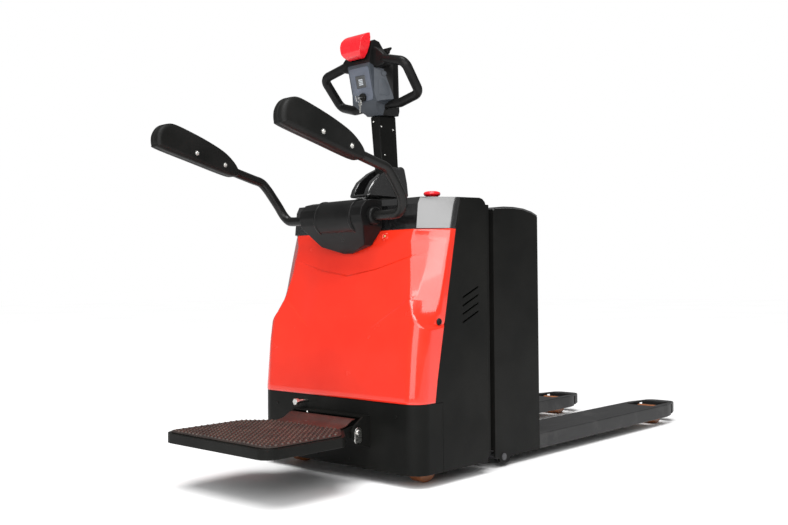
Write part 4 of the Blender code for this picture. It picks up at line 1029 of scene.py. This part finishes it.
# lighter face panel round the display
panel = flat(rounded([(-0.0400, -0.0660), (0.0400, -0.0660), (0.0455, -0.050), (0.0455, 0.047), (-0.0455, 0.047), (-0.0455, -0.050)],
                     [0.010, 0.010, 0.006, 0.008, 0.008, 0.006], 5), "XY", -0.0008, 0.0012, "face_plate",
             holes=[rounded([(-0.0225, -0.0210), (0.0225, -0.0210), (0.0225, 0.0210), (-0.0225, 0.0210)], 0.0015, 3),
                    arc(0.0, -0.0531, 0.0148, 0, 350, 35)])
bake(panel, edges(0.0006, 2))
panel.data.transform(Matrix.Translation((XC, 0, 0)))
rot = Matrix((Vector((0, -1, 0)), t_face, n_face)).transposed().to_4x4()
panel.data.transform(Matrix.Translation(V(*scr)) @ rot)
put(panel, "face_panel", "tiller")
refine("display", width=0.0010, seg=3)
bm = bmesh.new()
for x0, x1, y0, y1 in ((-0.0095, 0.0095, -0.0115, -0.0080), (-0.0095, 0.0095, -0.0060, -0.0025), (-0.0095, 0.0095, -0.0005, 0.0030),
                       (-0.0095, 0.0095, 0.0050, 0.0085)):
    quad = [scr + Vector((0, -1, 0)) * a + t_face * b + n_face * 0.0014 for a, b in ((x0, y0), (x1, y0), (x1, y1), (x0, y1))]
    top = [bm.verts.new(V(*q)) for q in quad]
    low = [bm.verts.new(V(*(q - n_face * 0.0003))) for q in quad]
    bm.faces.new(top)
    bm.faces.new(low[::-1])
    for a in range(4):
        b = (a + 1) % 4
        bm.faces.new((top[a], low[a], low[b], top[b]))
put(from_bm("display_bars", bm, 0), "lcd", "tiller")
refine("key_switch", width=0.0012, seg=3)
refine("key", width=0.0006, seg=2)
for n in BTN:
    refine(n, width=0.0008, seg=3)
belly = flat([(0.1232, 1.3895), (0.1080, 1.3910), (0.0960, 1.3965), (0.0885, 1.4080), (0.0872, 1.4220), (0.0890, 1.4370), (0.0935, 1.4500),
              (0.1020, 1.4600), (0.1130, 1.4685), (0.1240, 1.4742), (0.1345, 1.4766), (0.1372, 1.4600), (0.1358, 1.4480)], "XZ", -0.0498, 0.0498, "belly_cap")
carve(belly, *[flat([(s * 0.0300, 1.3750), (s * 0.0340, 1.3890), (s * 0.0440, 1.4060), (s * 0.0505, 1.4360), (s * 0.0800, 1.4360), (s * 0.0800, 1.3750)][::s],
                    "YZ", 0.05, 0.20, "bc") for s in (1, -1)])
bake(belly, edges(0.0060, 5, 24))
put(belly, "signal_red", "belly_button", "belly_button", 60)
even(belly)
hung = flat(arc(0.0, 1.2405, 0.0085, -50, 230, 26) + [(-0.0028, 1.2320), (-0.0028, 1.2200), (-0.0014, 1.2190), (-0.0028, 1.2175), (-0.0020, 1.2120),
                                                    (0.0, 1.2085), (0.0028, 1.2110), (0.0028, 1.2320)], "YZ", 0.1342, 0.1358, "key_spare",
            holes=[arc(0.0, 1.2455, 0.0020, 0, 340, 17)])
put(bake(hung, edges(0.0004, 2)), "bright_steel", "key")
link = lathe("key_link", [(0.0058 + 0.0007 * math.cos(a), 0.0007 * math.sin(a)) for a in [2 * math.pi * i / 12 for i in range(12)]],
             V(0.1318, 0.0, 1.2495), (0.25, 1, 0), 36)
put(link, "bright_steel", "key", angle=60)

for side, s in (("left", 1), ("right", -1)):
    line = bends([V(0.1776, s * 0.0736, 1.3830), V(0.1600, s * 0.0969, 1.3830), V(0.1490, s * 0.1930, 1.3570), V(0.2290, s * 0.1870, 1.2650),
                  V(0.2210, s * 0.1080, 1.2420), V(0.2210, s * 0.0320, 1.2460)], 0.026, 14)
    dense = []
    for a, b in zip(line, line[1:]):
        k = max(1, int((b - a).length / 0.004))
        dense += [a.lerp(b, j / k) for j in range(k)]
    dense.append(line[-1])

    def grip(t):
        return 0.0160 + 0.0085 * (1 - sstep(0.0, 0.11, t)) ** 1.5 + 0.0050 * sstep(0.93, 1.0, t) ** 1.5

    put(sweep(side + "_loop_bar", dense, grip, 40, 0.002), "plastic_black", "tiller", side + "_handle_loop", 50)
    y0, y1 = sorted((s * 0.0542, s * 0.0838))
    paddle = flat(rounded([(0.1842, 1.4082), (0.1958, 1.4082), (0.1988, 1.4190), (0.2075, 1.4285), (0.2040, 1.4335), (0.1870, 1.4270)],
                          [0.003, 0.003, 0.004, 0.0024, 0.0024, 0.004], 5), "XZ", y0, y1, side + "_paddle")
    put(bake(paddle, edges(0.0014, 3)), "plastic_black", "throttle", side + "_throttle_paddle", 50)

# ================================================================== stage, lights, camera
bm = bmesh.new()
bmesh.ops.create_grid(bm, x_segments=1, y_segments=1, size=30)
floor = from_bm("floor", bm, 0)
scene.collection.objects.link(floor)
fm = Mat("floor_white", 0.6)
vary(fm, (0.93, 0.93, 0.93), (0.95, 0.95, 0.95), 0.6)
floor.data.materials.append(fm.m)

world = bpy.data.worlds.new("studio")
world.use_nodes = True
wn = world.node_tree
seen = wn.nodes["Background"]
seen.inputs["Color"].default_value = (1, 1, 1, 1)
seen.inputs["Strength"].default_value = 1.0
fill = wn.nodes.new("ShaderNodeBackground")
fill.inputs["Color"].default_value = (1, 1, 1, 1)
fill.inputs["Strength"].default_value = 0.22
pick = wn.nodes.new("ShaderNodeMixShader")
wn.links.new(wn.nodes.new("ShaderNodeLightPath").outputs["Is Camera Ray"], pick.inputs["Fac"])
wn.links.new(fill.outputs["Background"], pick.inputs[1])
wn.links.new(seen.outputs["Background"], pick.inputs[2])
wn.links.new(pick.outputs[0], wn.nodes["World Output"].inputs["Surface"])
scene.world = world

sun = bpy.data.lights.new("sun_soft", "SUN")
sun.energy, sun.angle = 3.25, math.radians(40)
so = bpy.data.objects.new("sun_soft", sun)
so.rotation_mode = "QUATERNION"
so.rotation_quaternion = Vector((0.30, 0.16, -1.0)).to_track_quat("-Z", "Y")
scene.collection.objects.link(so)


def softbox(name, at, aim, w, h, power, colour=(1, 1, 1)):
    ld = bpy.data.lights.new(name, "AREA")
    ld.shape, ld.size, ld.size_y, ld.energy, ld.color = "RECTANGLE", w, h, power, colour
    lo = bpy.data.objects.new(name, ld)
    lo.location = at
    lo.rotation_mode = "QUATERNION"
    lo.rotation_quaternion = (Vector(aim) - Vector(at)).to_track_quat("-Z", "Y")
    scene.collection.objects.link(lo)


softbox("box_facet", V(-2.60, -1.15, 1.75), V(0.1, -0.30, 0.70), 2.0, 3.0, 58)
softbox("box_silver", V(-1.74, -2.70, 2.19), V(0.13, -0.32, 0.85), 2.1, 1.7, 58)

cam = bpy.data.cameras.new("camera")
cam.sensor_width = 36
cam.lens = 915.53 / 788 * 36
co = bpy.data.objects.new("camera", cam)
scene.collection.objects.link(co)
yaw, pitch, roll = 0.7389, 0.024, -0.0077
d = Vector((math.cos(pitch) * math.cos(yaw), math.cos(pitch) * math.sin(yaw), math.sin(pitch)))
r = Vector((math.sin(yaw), -math.cos(yaw), 0))
u = r.cross(d)
right, up = r * math.cos(roll) + u * math.sin(roll), -r * math.sin(roll) + u * math.cos(roll)
mw = Matrix((right, up, -d)).transposed().to_4x4()
mw.translation = V(-2.0886, -2.1767, 0.6235)
co.matrix_world = mw
scene.camera = co
scene.view_settings.view_transform = "Standard"
